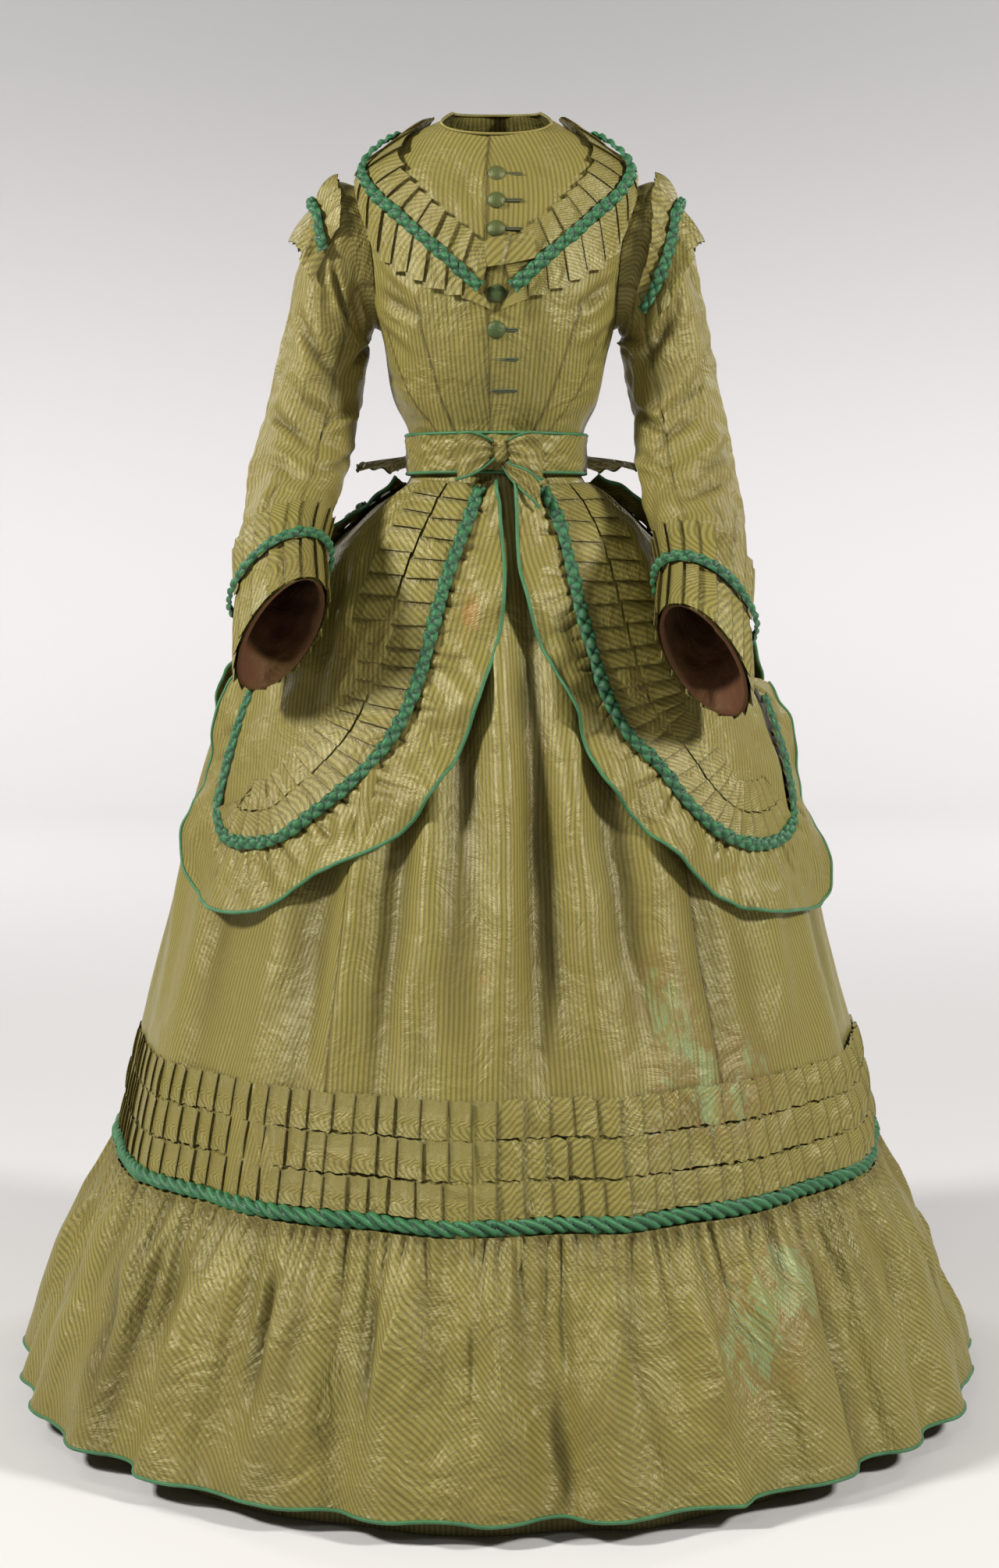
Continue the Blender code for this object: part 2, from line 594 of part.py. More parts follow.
def torso_place(angle, height):
    """The column and row of the bodice at that angle and height."""
    base = WAIST_SEAM + SEAM_GAP
    share = (height - base) / (neck_height(angle) - base)
    share = min(1.0, max(0.0, share))
    last = len(TORSO_SHARES) - 1
    for i in range(last):
        if share <= TORSO_SHARES[i + 1]:
            step = (share - TORSO_SHARES[i]) / (TORSO_SHARES[i + 1] - TORSO_SHARES[i])
            return angle * TORSO_COLUMNS / 360, last - i - step
    return angle * TORSO_COLUMNS / 360, 0.0


def on_torso(cloth, angle, height, out=0.0):
    column, row = torso_place(angle, height)
    return cloth.at(column, row, out)


def add_armhole_cutter(side):
    """An oval bar that cuts one armhole through the fronts and the back."""
    near, far = 0.070, 0.260
    sides = 20
    rings = []
    for across in (near, far):
        turns = [2 * math.pi * s / sides for s in range(sides)]
        rings.append([
            Vector((
                side * across,
                ARMHOLE_DEPTH - ARMHOLE_REACH * math.cos(t),
                ARMHOLE_HEIGHT + ARMHOLE_RISE * math.sin(t),
            ))
            for t in turns
        ])
    faces = [[s, (s + 1) % sides, sides + (s + 1) % sides, sides + s] for s in range(sides)]
    faces += [list(reversed(range(sides))), [sides + s for s in range(sides)]]
    cutter = add_mesh(f"armhole_cutter_{'left' if side > 0 else 'right'}", rings[0] + rings[1], faces, None)
    cutter.hide_render = True
    cutter.display_type = "WIRE"
    return cutter


def build_bodice(cloth, silk):
    columns = TORSO_COLUMNS / 360
    cutters = {side: add_armhole_cutter(side) for side in (-1, 1)}
    pieces = (
        ("bodice_front_left", 0, SIDE_SEAM, (1,)),
        ("bodice_back", SIDE_SEAM, 360 - SIDE_SEAM, (1, -1)),
        ("bodice_front_right", 360 - SIDE_SEAM, 360, (-1,)),
    )
    for name, start, end, sides in pieces:
        outer, inner = cloth.piece(start * columns, end * columns)
        made = add_solid(name, outer, inner, silk)
        for side in sides:
            cut = made.modifiers.new("armhole", "BOOLEAN")
            cut.operation = "DIFFERENCE"
            cut.object = cutters[side]


def build_neck_binding(cloth, silk):
    angles = [360 * c / TORSO_COLUMNS for c in range(TORSO_COLUMNS)]
    inward = [cloth.normal(a * TORSO_COLUMNS / 360, 0) for a in angles]
    centres = [on_torso(cloth, a, neck_height(a)) - n * 0.5 * CLOTH for a, n in zip(angles, inward)]
    ups = []
    for i, centre in enumerate(centres):
        after = centres[(i + 1) % len(centres)] - centres[i - 1]
        ups.append(inward[i].cross(after).normalized())
    ups = [u if u.z > 0 else -u for u in ups]
    add_rope("neck_binding", centres, ups, cord_profile(0.0016, 0.0016, sides=3), silk, closed=True)


# The V of pleated bands and ruche across the bodice
def collar_place(torso, side, near, far, start, end):
    """Lays a strip between two of the collar's three lines, named by their columns."""
    def place(along, across, out):
        here = station(COLLAR, along)
        first = (getattr(here, near + "_angle"), getattr(here, near + "_height"))
        second = (getattr(here, far + "_angle"), getattr(here, far + "_height"))
        share = start + across * (end - start)
        angle = first[0] + share * (second[0] - first[0])
        height = first[1] + share * (second[1] - first[1])
        return on_torso(torso, side * angle, height, out)

    return place


def build_collar(torso, silk, satin):
    last = len(COLLAR) - 1
    for side, word in ((1, "left"), (-1, "right")):
        inner = collar_place(torso, side, "inner", "ruche", 0.0, 0.88)
        outer = collar_place(torso, side, "ruche", "outer", 0.16, 1.0)
        pleated_strip(f"collar_pleats_inner_{word}", inner, 0, last, 4, silk, gap=0.0046, fold=0.0036, every=1.0)
        pleated_strip(f"collar_pleats_outer_{word}", outer, 0, last, 4, silk, gap=0.0042, fold=0.0036, every=1.0, rows=(0.0, 0.5, 1.0))
    marks = [i * last / 18 for i in range(19)]
    line = [(p.ruche_angle, p.ruche_height) for p in (station(COLLAR, at) for at in marks)]
    line = line[:-1] + [(-a, h) for a, h in reversed(line)][1:]
    centres = [on_torso(torso, a, h, 0.0080) for a, h in line]
    normals = [torso.normal(*torso_place(a, h)) for a, h in line]
    add_rope("collar_ruche", centres, normals, ruche_profile(0.007, 0.006), satin)


# Five domed buttons covered in the green silk, down the centre front
def build_buttons(torso, satin):
    profile = ((0.0, 0.0048), (0.62, 0.0039), (1.0, 0.0010), (0.0, 0.0))
    sides = 10
    for number, height in enumerate(BUTTON_HEIGHTS, 1):
        centre = on_torso(torso, 0.0, height, BUTTON_LIFT)
        out = torso.normal(*torso_place(0.0, height))
        across = Vector((1, 0, 0))
        up = across.cross(out) * -1
        points = []
        for reach, rise in profile:
            turns = range(sides) if reach else (0,)
            for s in turns:
                t = 2 * math.pi * s / sides
                points.append(centre + out * rise + BUTTON_RADIUS * reach * (across * math.cos(t) + up * math.sin(t)))
        faces = [[0, 1 + s, 1 + (s + 1) % sides] for s in range(sides)]
        for ring in range(len(profile) - 3):
            first = 1 + ring * sides
            for s in range(sides):
                t = (s + 1) % sides
                faces.append([first + s, first + sides + s, first + sides + t, first + t])
        bottom = 1 + (len(profile) - 3) * sides
        faces += [[bottom + s, len(points) - 1, bottom + (s + 1) % sides] for s in range(sides)]
        add_mesh(f"button_{number}", points, faces, satin)


# The sleeves: bent, widening to an open slanted cuff
def armhole_ring(side, cloth, turn, inset):
    """A point of the sleeve's head, just inside the armhole and level with the bodice."""
    depth = ARMHOLE_DEPTH - (ARMHOLE_REACH - inset) * math.cos(turn)
    height = ARMHOLE_HEIGHT + (ARMHOLE_RISE - inset) * math.sin(turn)
    section = read_table(TORSO_SECTIONS, "height", height)
    half = section.front if depth < 0 else section.back
    share = min(1.0, abs(depth) / half)
    power = 2 / 0.92
    across = section.half_width * (1 - share**power) ** (1 / power)
    return Vector((side * across, depth, height))


LEFT_ARM_DROP = 0.027
LEFT_ARM_INWARD = 0.010
LEFT_ARM_FORWARD = 0.026


def sleeve_ring_point(side, ring, turn, inset=0.0):
    # The left arm hangs a little straighter and lower
    share = smooth((1.24 - ring.height) / 0.35) if side > 0 else 0.0
    ring = ring._replace(
        height=ring.height - share * LEFT_ARM_DROP,
        across=ring.across - share * LEFT_ARM_INWARD,
        forward=ring.forward + share * LEFT_ARM_FORWARD,
    )
    tilt, lean = math.radians(ring.tilt), math.radians(ring.lean)
    out = Vector((side * math.cos(tilt), 0, -math.sin(tilt)))
    back = Vector((0, math.cos(lean), -math.sin(lean)))
    centre = Vector((side * ring.across, -ring.forward, ring.height))
    return (
        centre
        - back * (ring.half_depth - inset) * math.cos(turn)
        + out * (ring.half_width - inset) * math.sin(turn)
    )


def make_sleeve(side, cloth):
    """Outer and inner rows of points from the armhole down to the cuff."""
    sheets = []
    for inset in (0.0, CLOTH):
        turns = [2 * math.pi * s / SLEEVE_COLUMNS for s in range(SLEEVE_COLUMNS)]
        if side < 0:
            turns = [-t for t in turns]
        rows = [[armhole_ring(side, cloth, t, 0.0008 + inset) + Vector((side * 0.0006, 0, 0)) for t in turns]]
        rows += [[sleeve_ring_point(side, ring, t, inset) for t in turns] for ring in SLEEVE_RINGS]
        sheets.append(rows)
    return sheets


def sleeve_place(cloth, side, upper, lower):
    """Lays a strip round the sleeve between two of its rows. along is in columns from the front by the outside."""
    def place(along, across, out):
        return cloth.at(side * along, upper + across * (lower - upper), out)

    return place


def sleeve_half(rows, side, start, end):
    """The rows cut to the columns from start to end, half a seam gap short at each."""
    cloth = Cloth(rows, True)
    width = 0.06 / 4
    inset = 0.5 * SEAM_GAP / width
    columns = [start + inset, *range(math.floor(start) + 1, math.ceil(end)), end - inset]
    return [[cloth.point(side * c, r) for c in columns] for r in range(len(rows))]


def build_sleeve(side, torso, silk, satin, lining):
    word = "left" if side > 0 else "right"
    outer, inner = make_sleeve(side, torso)
    # Seams at the front of the arm and behind the elbow
    for piece, start, end in (("upper", -1.0, 8.0), ("under", 8.0, 13.0)):
        add_solid(
            f"sleeve_{piece}_{word}", sleeve_half(outer, side, start, end), sleeve_half(inner, side, start, end), silk
        )
    cloth = Cloth(outer, True)
    last = len(outer) - 1
    place = sleeve_place(cloth, side, last - 1.92, last - 0.03)
    pleated_strip(f"cuff_pleats_{word}", place, 0, SLEEVE_COLUMNS, 7, silk, closed=True, every=1.0, rows=(0.0, 0.4868, 1.0))
    row = last - 1.0
    columns = range(SLEEVE_COLUMNS)
    centres = [cloth.at(c, row, 0.0064) for c in columns]
    normals = [cloth.normal(c, row) for c in columns]
    add_rope(f"cuff_ruche_{word}", centres, normals, ruche_profile(0.0065, 0.006), satin, closed=True)

    # The lining shows inside the open cuff
    bottom = Cloth([[p for p in row] for row in inner[last - 2:]], True)
    face = [[bottom.at(c, r, -0.0004) for c in columns] for r in (0, 1, 2)]
    back = [[bottom.at(c, r, -0.0014) for c in columns] for r in (0, 1, 2)]
    add_solid(f"cuff_lining_{word}", face, back, lining, closed=True)

    # Two pleated bands and a ruche round the outside of the sleeve head
    start, end = 1.5, 6.0
    place = sleeve_place(cloth, side, 0.74, 1.82)
    pleated_strip(f"cap_pleats_{word}", place, start, end, 3, silk, gap=0.0012, fold=0.0045, every=0.5, rows=(0.0, 0.2407, 1.0))
    marks = [start + i * (end - start) / 10 for i in range(11)]
    centres = [cloth.at(side * c, 1.27, 0.0074) for c in marks]
    normals = [cloth.normal(side * c, 1.27) for c in marks]
    add_rope(f"cap_ruche_{word}", centres, normals, ruche_profile(0.0065, 0.006), satin)


# The belt and its bow
def belt_point(angle, height, out):
    section = read_table(TORSO_SECTIONS, "height", WAIST_SEAM)
    share = (height - WAIST_SEAM) / 0.02
    flare = 0.0031 + 0.0005 * share
    point = round_body(section, angle, fullness=0.94)
    away = Vector((math.sin(math.radians(angle)), -math.cos(math.radians(angle)), 0))
    return Vector((point.x, point.y, height)) + away * (out + flare)


BELT_LIFT = 0.0008


def build_belt(silk, satin):
    count = 28
    angles = [360 * s / count for s in range(count)]
    heights = (BELT_TOP, BELT_BOTTOM)
    outer = [[belt_point(a, h, BELT_LIFT + BELT_CLOTH) for a in angles] for h in heights]
    inner = [[belt_point(a, h, BELT_LIFT) for a in angles] for h in heights]
    add_solid("belt", outer, inner, silk, closed=True)
    up = Vector((0, 0, 1))
    for name, height, rise in (("belt_piping_top", BELT_TOP, 1), ("belt_piping_bottom", BELT_BOTTOM, -1)):
        centres = [belt_point(a, height, BELT_LIFT + 0.5 * BELT_CLOTH) + up * rise * 0.0021 for a in angles]
        add_rope(name, centres, [up] * count, cord_profile(0.0018, 0.0, sides=3), satin, closed=True)


# Each row bends the ribbon of a bow loop: across from the knot, forward of the belt, its middle height and half height
BowRow = namedtuple("BowRow", "across forward drop half_height")
BOW_LOOP_LEFT = (
    BowRow(0.011, 0.0042, 0.000, 0.009), BowRow(0.022, 0.0064, 0.001, 0.013), BowRow(0.034, 0.0075, 0.003, 0.016),
    BowRow(0.043, 0.0050, 0.006, 0.016), BowRow(0.040, 0.0010, 0.006, 0.015), BowRow(0.026, 0.0007, 0.003, 0.012),
    BowRow(0.012, 0.0009, 0.000, 0.008),
)
BOW_END = (
    BowRow(0.005, 0.0062, 0.0174, 0.0035), BowRow(0.020, 0.0170, 0.028, 0.010), BowRow(0.032, 0.0230, 0.036, 0.013),
    BowRow(0.043, 0.0260, 0.046, 0.014),
)


def build_bow(silk, satin):
    front = belt_point(0.0, WAIST_SEAM, BELT_LIFT + BELT_CLOTH)
    middle = Vector((0.004, front.y + 0.0006, WAIST_SEAM + 0.002))

    def ribbon(name, rows, side, thick=0.0012):
        line = [middle + Vector((side * r.across, -r.forward, -r.drop)) for r in rows]
        outer, inner = [], []
        for share in (1.0, -1.0):
            high = [p + Vector((0, 0, share * r.half_height)) for p, r in zip(line, rows)]
            shifted = []
            for i, p in enumerate(high):
                along = high[min(i + 1, len(high) - 1)] - high[max(i - 1, 0)]
                away = Vector((along.y, -along.x, 0)).normalized()
                shifted.append(p + away * thick)
            outer.append(high)
            inner.append(shifted)
        add_solid(name, outer, inner, silk)

    ribbon("bow_loop_right", BOW_LOOP_LEFT, -1)
    ribbon("bow_loop_left", BOW_LOOP_LEFT, 1)
    ribbon("bow_end", BOW_END, 1)
    sizes = ((-0.0135, 0.5), (-0.009, 0.9), (0.0, 1.0), (0.009, 0.9), (0.0135, 0.5))
    rings = []
    for rise, share in sizes:
        turns = [2 * math.pi * s / 8 for s in range(8)]
        rings.append([
            middle + Vector((0.0095 * share * math.cos(t), -0.0062 - 0.0056 * share * math.sin(t), rise)) for t in turns
        ])
    points = [p for ring in rings for p in ring]
    faces = [
        [r * 8 + s, r * 8 + (s + 1) % 8, (r + 1) * 8 + (s + 1) % 8, (r + 1) * 8 + s]
        for r in range(4) for s in range(8)
    ]
    faces += [list(range(8)), [32 + s for s in range(8)]]
    add_mesh("bow_knot", points, faces, silk)


# A pleated frill that stands out below the belt behind
def build_peplum(skirt, silk):
    waves = 6
    steps = 3 * waves
    outer, inner = [], []
    for share in (0.0, 1.0):
        row, lining = [], []
        for i in range(steps + 1):
            angle = 106 + i * (254 - 106) / steps
            wave = 0.5 - 0.5 * math.cos(2 * math.pi * i / 3)
            here = round_body(read_table(TORSO_SECTIONS, "height", WAIST_SEAM), angle)
            away = Vector((math.sin(math.radians(angle)), -math.cos(math.radians(angle)), 0))
            side = abs(math.sin(math.radians(angle)))
            reach = 0.0088 + share * (0.048 + 0.014 * wave + 0.014 * side)
            lift = 1.0900 + share * (0.007 * wave - 0.016)
            row.append(Vector((here.x, here.y, lift)) + away * reach)
            lining.append(row[-1] - Vector((0, 0, CLOTH)))
        outer.append(row)
        inner.append(lining)
    add_solid("peplum", outer, inner, silk)


def main():
    for old in list(bpy.data.objects):
        bpy.data.objects.remove(old)
    skirt = make_skirt_cloth()
    torso = make_torso_cloth()
    build_skirt(skirt, STRIPED_SILK)
    build_skirt_pleats(skirt, STRIPED_SILK)
    build_skirt_ruche(skirt, GREEN_SATIN)
    build_flounce(skirt, STRIPED_SILK, GREEN_SATIN)
    build_overskirt_side(skirt, "front_right", TAIL_RIGHT, -1, (56, 61), 2, STRIPED_SILK, GREEN_SATIN)
    build_overskirt_side(skirt, "front_left", TAIL_LEFT, 1, (69, 74), 2, STRIPED_SILK, GREEN_SATIN)
    back = BACK_HALF + tuple(
        TrimStation(360 - s.ruche_angle, s.ruche_height, 360 - s.edge_angle, s.edge_height) for s in BACK_HALF[-2::-1]
    )
    build_overskirt_side(skirt, "back", back, 1, (104, 256), 0, STRIPED_SILK, GREEN_SATIN)
    build_bodice(torso, STRIPED_SILK)
    build_neck_binding(torso, STRIPED_SILK)
    build_collar(torso, STRIPED_SILK, GREEN_SATIN)
    build_buttons(torso, BUTTON_SILK)
    for side in (-1, 1):
        build_sleeve(side, torso, STRIPED_SILK, GREEN_SATIN, BROWN_LINING)
    build_belt(STRIPED_SILK, GREEN_SATIN)
    build_bow(STRIPED_SILK, GREEN_SATIN)
    build_peplum(skirt, STRIPED_SILK)


main()
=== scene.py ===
"""A day dress of about 1868 in striped silk taffeta, with bias pleating, green satin ruches and piping.

Metres, in the part's own frame: the front faces -Y and the origin lies between the shoulders. Heights in the
tables are above the floor. Angles are degrees round the body, 0 at centre front and 90 at the wearer's left.
"""

import math

import bpy
import numpy as np
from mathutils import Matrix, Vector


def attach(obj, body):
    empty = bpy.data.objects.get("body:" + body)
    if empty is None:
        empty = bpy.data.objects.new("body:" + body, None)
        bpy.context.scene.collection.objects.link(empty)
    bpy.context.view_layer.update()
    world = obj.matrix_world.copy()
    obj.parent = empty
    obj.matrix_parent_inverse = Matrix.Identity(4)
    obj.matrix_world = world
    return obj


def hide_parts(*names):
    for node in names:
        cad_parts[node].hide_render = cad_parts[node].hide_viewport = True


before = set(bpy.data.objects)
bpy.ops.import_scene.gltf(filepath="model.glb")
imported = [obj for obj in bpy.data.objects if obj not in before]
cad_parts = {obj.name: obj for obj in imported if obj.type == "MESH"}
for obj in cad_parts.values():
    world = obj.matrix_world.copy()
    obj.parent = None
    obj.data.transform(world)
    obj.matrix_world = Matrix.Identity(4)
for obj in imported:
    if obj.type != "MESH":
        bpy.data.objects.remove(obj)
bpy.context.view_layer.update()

# The skirt: gored breadths of striped silk taffeta, seamed from waist to hem and gathered over the hips. It
# hangs over a hoop, so only the lower part falls into soft folds.
SHOULDERS = 1.400
WAIST = 1.089
UP = np.array((0, 0, 1.0))
SKIRT_SECTIONS = np.array((
    # height, half width, front, back, how far behind the body it is widest
    (1.089, 0.096, 0.0945, 0.087, 0.0), (1.06, 0.098, 0.0965, 0.09, 0.0),
    (1.032, 0.135, 0.109, 0.154, 0.005), (0.99, 0.182, 0.129, 0.212, 0.015),
    (0.94, 0.228, 0.152, 0.266, 0.03), (0.88, 0.27, 0.176, 0.312, 0.045), (0.8, 0.313, 0.206, 0.36, 0.065),
    (0.69, 0.351, 0.244, 0.415, 0.085), (0.56, 0.383, 0.284, 0.468, 0.1),
    (0.42, 0.422, 0.324, 0.522, 0.115), (0.295, 0.45, 0.36, 0.57, 0.125), (0.15, 0.483, 0.4, 0.625, 0.13),
    (0.0, 0.515, 0.434, 0.672, 0.135),
))
SKIRT_FOLDS = np.array((
    # angle, depth, spread in degrees, height where it starts
    (-78, -0.006, 7, 0.64), (-58, 0.006, 6, 0.62), (-44, -0.007, 6, 0.62), (-17, -0.008, 5, 0.7),
    (-7, 0.007, 5, 0.86), (8, -0.009, 5, 0.88), (17, 0.006, 4, 0.74), (27, -0.005, 5, 0.68),
    (48, -0.006, 6, 0.62), (63, 0.005, 6, 0.62), (80, -0.007, 7, 0.62), (104, 0.008, 7, 0.66),
    (120, -0.012, 6, 0.64), (134, 0.01, 6, 0.62), (150, -0.014, 6, 0.6), (166, 0.012, 6, 0.6),
    (182, -0.015, 6, 0.6), (197, 0.012, 6, 0.6), (212, -0.013, 6, 0.6), (228, 0.01, 6, 0.62),
    (243, -0.01, 6, 0.64), (258, 0.006, 7, 0.66),
))
FOLD_RUN = 0.30
SKIRT_BREADTHS = (
    # piece, first and last angle, flat size and area of its cut as built
    ("skirt_front", -25.0, 35.0, (0.56, 1.16), 0.48), ("skirt_side_left", 35.0, 110.0, (0.78, 1.22), 0.68),
    ("skirt_back", 110.0, 250.0, (1.62, 1.34), 1.50), ("skirt_side_right", 250.0, 335.0, (0.88, 1.22), 0.76),
)


def read(table, at):
    """Every column of a table at any values of its first, on a smooth curve through the rows."""
    rows = table if table[0, 0] < table[-1, 0] else table[::-1]
    keys = rows[:, 0]
    at = np.clip(np.asarray(at, float), keys[0], keys[-1])
    i = np.clip(np.searchsorted(keys, at, side="right") - 1, 0, len(keys) - 2)
    before, after = np.maximum(i - 1, 0), np.minimum(i + 2, len(keys) - 1)
    span = (keys[i + 1] - keys[i])[..., None]
    t = (at - keys[i])[..., None] / span
    low, high = rows[i], rows[i + 1]
    slope_low = (high - rows[before]) / (keys[i + 1] - keys[before])[..., None]
    slope_high = (rows[after] - low) / (keys[after] - keys[i])[..., None]
    return (
        low * (2 * t**3 - 3 * t**2 + 1)
        + high * (3 * t**2 - 2 * t**3)
        + span * slope_low * (t**3 - 2 * t**2 + t)
        + span * slope_high * (t**3 - t**2)
    )


def smooth(share):
    """0 to 1 with level ends."""
    share = np.clip(share, 0, 1)
    return share * share * (3 - 2 * share)


def unit(vectors):
    return vectors / np.maximum(np.linalg.norm(vectors, axis=-1, keepdims=True), 1e-12)


def wrapped(angle):
    """The same angle between -180 and 180."""
    return (angle + 180) % 360 - 180


def outward(angle):
    """The level way out of the body at each angle."""
    return np.stack([np.sin(np.radians(angle)), -np.cos(np.radians(angle)), 0 * angle], -1)


def hump(away, width):
    """1 at the middle of a seam, fold or crease, fading to 0 beyond its width."""
    return np.exp(-((away / width) ** 2))


def round_body(section, angle, fullness=1.0):
    """Points at those angles of sections whose front and back halves differ in depth."""
    sine, cosine = np.sin(np.radians(angle)), np.cos(np.radians(angle))
    front, back, widest = section[..., 2], section[..., 3], section[..., 4]
    half_depth = np.where(cosine > 0, front + widest, back - widest)
    across = section[..., 1] * np.sign(sine) * np.abs(sine) ** fullness
    along = widest - half_depth * np.sign(cosine) * np.abs(cosine) ** fullness
    return np.stack(np.broadcast_arrays(across, along, section[..., 0] - SHOULDERS), -1)


def moved_out(face, angle, height, out):
    """Points of a face at those angles and heights, moved out square to the cloth."""
    angle, height = np.broadcast_arrays(np.asarray(angle, float), np.asarray(height, float))
    along = face(angle + 0.4, height) - face(angle - 0.4, height)
    down = face(angle, height - 0.003) - face(angle, height + 0.003)
    return face(angle, height) + unit(np.cross(down, along)) * np.asarray(out)[..., None]


def skirt_face(angle, height):
    points = round_body(read(SKIRT_SECTIONS, height), angle)
    depth = 0.0
    for at, fold, spread, start in SKIRT_FOLDS:
        away = wrapped(angle - at)
        depth = depth + smooth((start - height) / FOLD_RUN) * fold * hump(away, spread)
    points[..., 0] += depth * np.sin(np.radians(angle))
    points[..., 1] -= depth * np.cos(np.radians(angle))
    return points


def skirt(angle, height, out=0.0):
    return moved_out(skirt_face, angle, height, out)


RIPPLE_WAVES = 16


def ripples(points, seed, size, stretch=1.0):
    """Soft unevenness of about -1 to 1 at each point, in waves of about that size, drawn out upright."""
    waves = np.random.default_rng(seed).normal(size=(RIPPLE_WAVES, 4))
    total = np.zeros(points.shape[:-1])
    for x, y, z, phase in waves:
        way = np.array((x, y, z / stretch))
        total += np.sin(points @ (way * 2 * math.pi / (size * math.hypot(x, y, z))) + 7 * phase)
    return total * math.sqrt(2 / RIPPLE_WAVES)


# Beside a crease the cloth swells the other way: how deep and how many widths off
CREASE_LIP, CREASE_LIP_PLACE = 0.55, 1.9


def crease_field(across, along, table):
    """How far listed creases push each point out. A row is a crease's two ends, width and depth."""
    total = 0.0
    for x0, y0, x1, y1, width, depth in table:
        way = np.array((x1 - x0, y1 - y0))
        long = np.hypot(*way)
        way = way / long
        down = (across - x0) * way[0] + (along - y0) * way[1]
        off = (across - x0) * way[1] - (along - y0) * way[0]
        run = np.clip(down / long, 0, 1)
        beyond = np.abs(down - run * long)
        body = np.sin(math.pi * np.clip(0.08 + 0.84 * run, 0, 1)) ** 0.7 * hump(beyond, 2 * width)
        lip = CREASE_LIP * hump(off - CREASE_LIP_PLACE * width, width)
        total = total + depth * body * (hump(off, width) - lip)
    return total


def hollow(out, depth):
    """How dark the silk turns where it sinks away from the light."""
    return 0.62 * np.clip(-out / depth, 0, 1)


def columns(start, end, step, edges=()):
    """Places from start to end about a step apart, and closer beside each end."""
    count = max(2, round((end - start) / step))
    return np.unique(np.concatenate([
        np.linspace(start, end, count + 1), [start + e for e in edges], [end - e for e in edges],
    ]))


def lengths(points, axis):
    """How far each point lies along its row or column of cloth, measured on the cloth."""
    steps = np.linalg.norm(np.diff(points, axis=axis), axis=-1)
    first = np.zeros_like(np.take(steps, [0], axis=axis))
    return np.cumsum(np.concatenate([first, steps], axis=axis), axis=axis)


def add_cloth(name, points, threads, finish, replaces=None, closed=False, shade=0.0,
              gone=None, flip=False):
    """A piece of cloth from rows of points, in place of the solid of its own name or of those in replaces.

    threads gives where each point lies on the flat cloth, across and along the stripes, shade from 0 to 1 how
    dark it is painted, both painted shade and dark seam lines, and gone which points an opening takes. flip
    turns the face round."""
    shade = np.broadcast_to(shade, points.shape[:2])
    if flip:
        points, threads, shade = points[:, ::-1], threads[:, ::-1], shade[:, ::-1]
    rows, count = points.shape[:2]
    index = np.arange(rows * count).reshape(rows, count)
    if closed:
        index = np.concatenate([index, index[:, :1]], axis=1)
    faces = np.stack([index[:-1, :-1], index[1:, :-1], index[1:, 1:], index[:-1, 1:]], -1).reshape(-1, 4)
    if gone is not None:
        faces = faces[~gone.reshape(-1)[faces].all(axis=1)]
    mesh = bpy.data.meshes.new(name)
    mesh.from_pydata(points.reshape(-1, 3).tolist(), [], faces.tolist())
    values = np.stack([threads[..., 0], threads[..., 1], shade], -1).astype(np.float32)
    mesh.attributes.new("threads", "FLOAT_VECTOR", "POINT").data.foreach_set("vector", values.ravel())
    mesh.shade_smooth()
    mesh.materials.append(finish)
    piece = bpy.data.objects.new(f"{name}_cloth", mesh)
    bpy.context.scene.collection.objects.link(piece)
    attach(piece, "root")
    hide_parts(*((name,) if replaces is None else replaces))
    return piece


class Tone:
    """One value of a finish's node tree. Sums written with it add their own nodes."""

    def __init__(self, tree, socket=None):
        self.tree = tree
        self.socket = socket

    def node(self, kind, settings, sockets, out=0):
        made = self.tree.nodes.new(kind)
        for key, value in settings.items():
            if key == "stops":
                ramp = made.color_ramp
                while len(ramp.elements) < len(value):
                    ramp.elements.new(0.5)
                for element, (place, level) in zip(ramp.elements, value):
                    element.position = place
                    element.color = (level, level, level, 1.0)
            else:
                setattr(made, key, value)
        for key, value in sockets.items():
            if isinstance(value, Tone):
                self.tree.links.new(value.socket, made.inputs[key])
            else:
                made.inputs[key].default_value = value
        return Tone(self.tree, made.outputs[out])

    def sum(self, operation, *terms):
        return self.node("ShaderNodeMath", {"operation": operation}, dict(enumerate(terms)))

    def __add__(self, other):
        return self.sum("ADD", self, other)

    def __sub__(self, other):
        return self.sum("SUBTRACT", self, other)

    def __rsub__(self, other):
        return self.sum("SUBTRACT", other, self)

    def __mul__(self, other):
        return self.sum("MULTIPLY", self, other)

    def __truediv__(self, other):
        return self.sum("DIVIDE", self, other)

    def __pow__(self, other):
        return self.sum("POWER", self, other)

    __radd__ = __add__
    __rmul__ = __mul__

    def clipped(self):
        return self.node("ShaderNodeClamp", {}, {"Value": self})

    def mixed(self, first, second):
        """A colour between two, by this value."""
        return self.node(
            "ShaderNodeMix", {"data_type": "RGBA", "blend_type": "MIX"}, {0: self, 6: first, 7: second}, 2
        )

    def noise(self, where, scale, detail=3.0, rough=0.55, twist=0.0):
        return self.node(
            "ShaderNodeTexNoise", {}, {"Vector": where, "Scale": scale, "Detail": detail, "Roughness": rough,
                                       "Distortion": twist}, "Fac"
        )

    def stretched(self, where, scale):
        return self.node("ShaderNodeMapping", {}, {"Vector": where, "Scale": scale})

    def ramped(self, low, high):
        """0 below low and 1 above high."""
        return self.node(
            "ShaderNodeMapRange", {"interpolation_type": "SMOOTHSTEP"},
            {"Value": self, "From Min": low, "From Max": high, "To Min": 0.0, "To Max": 1.0},
        )


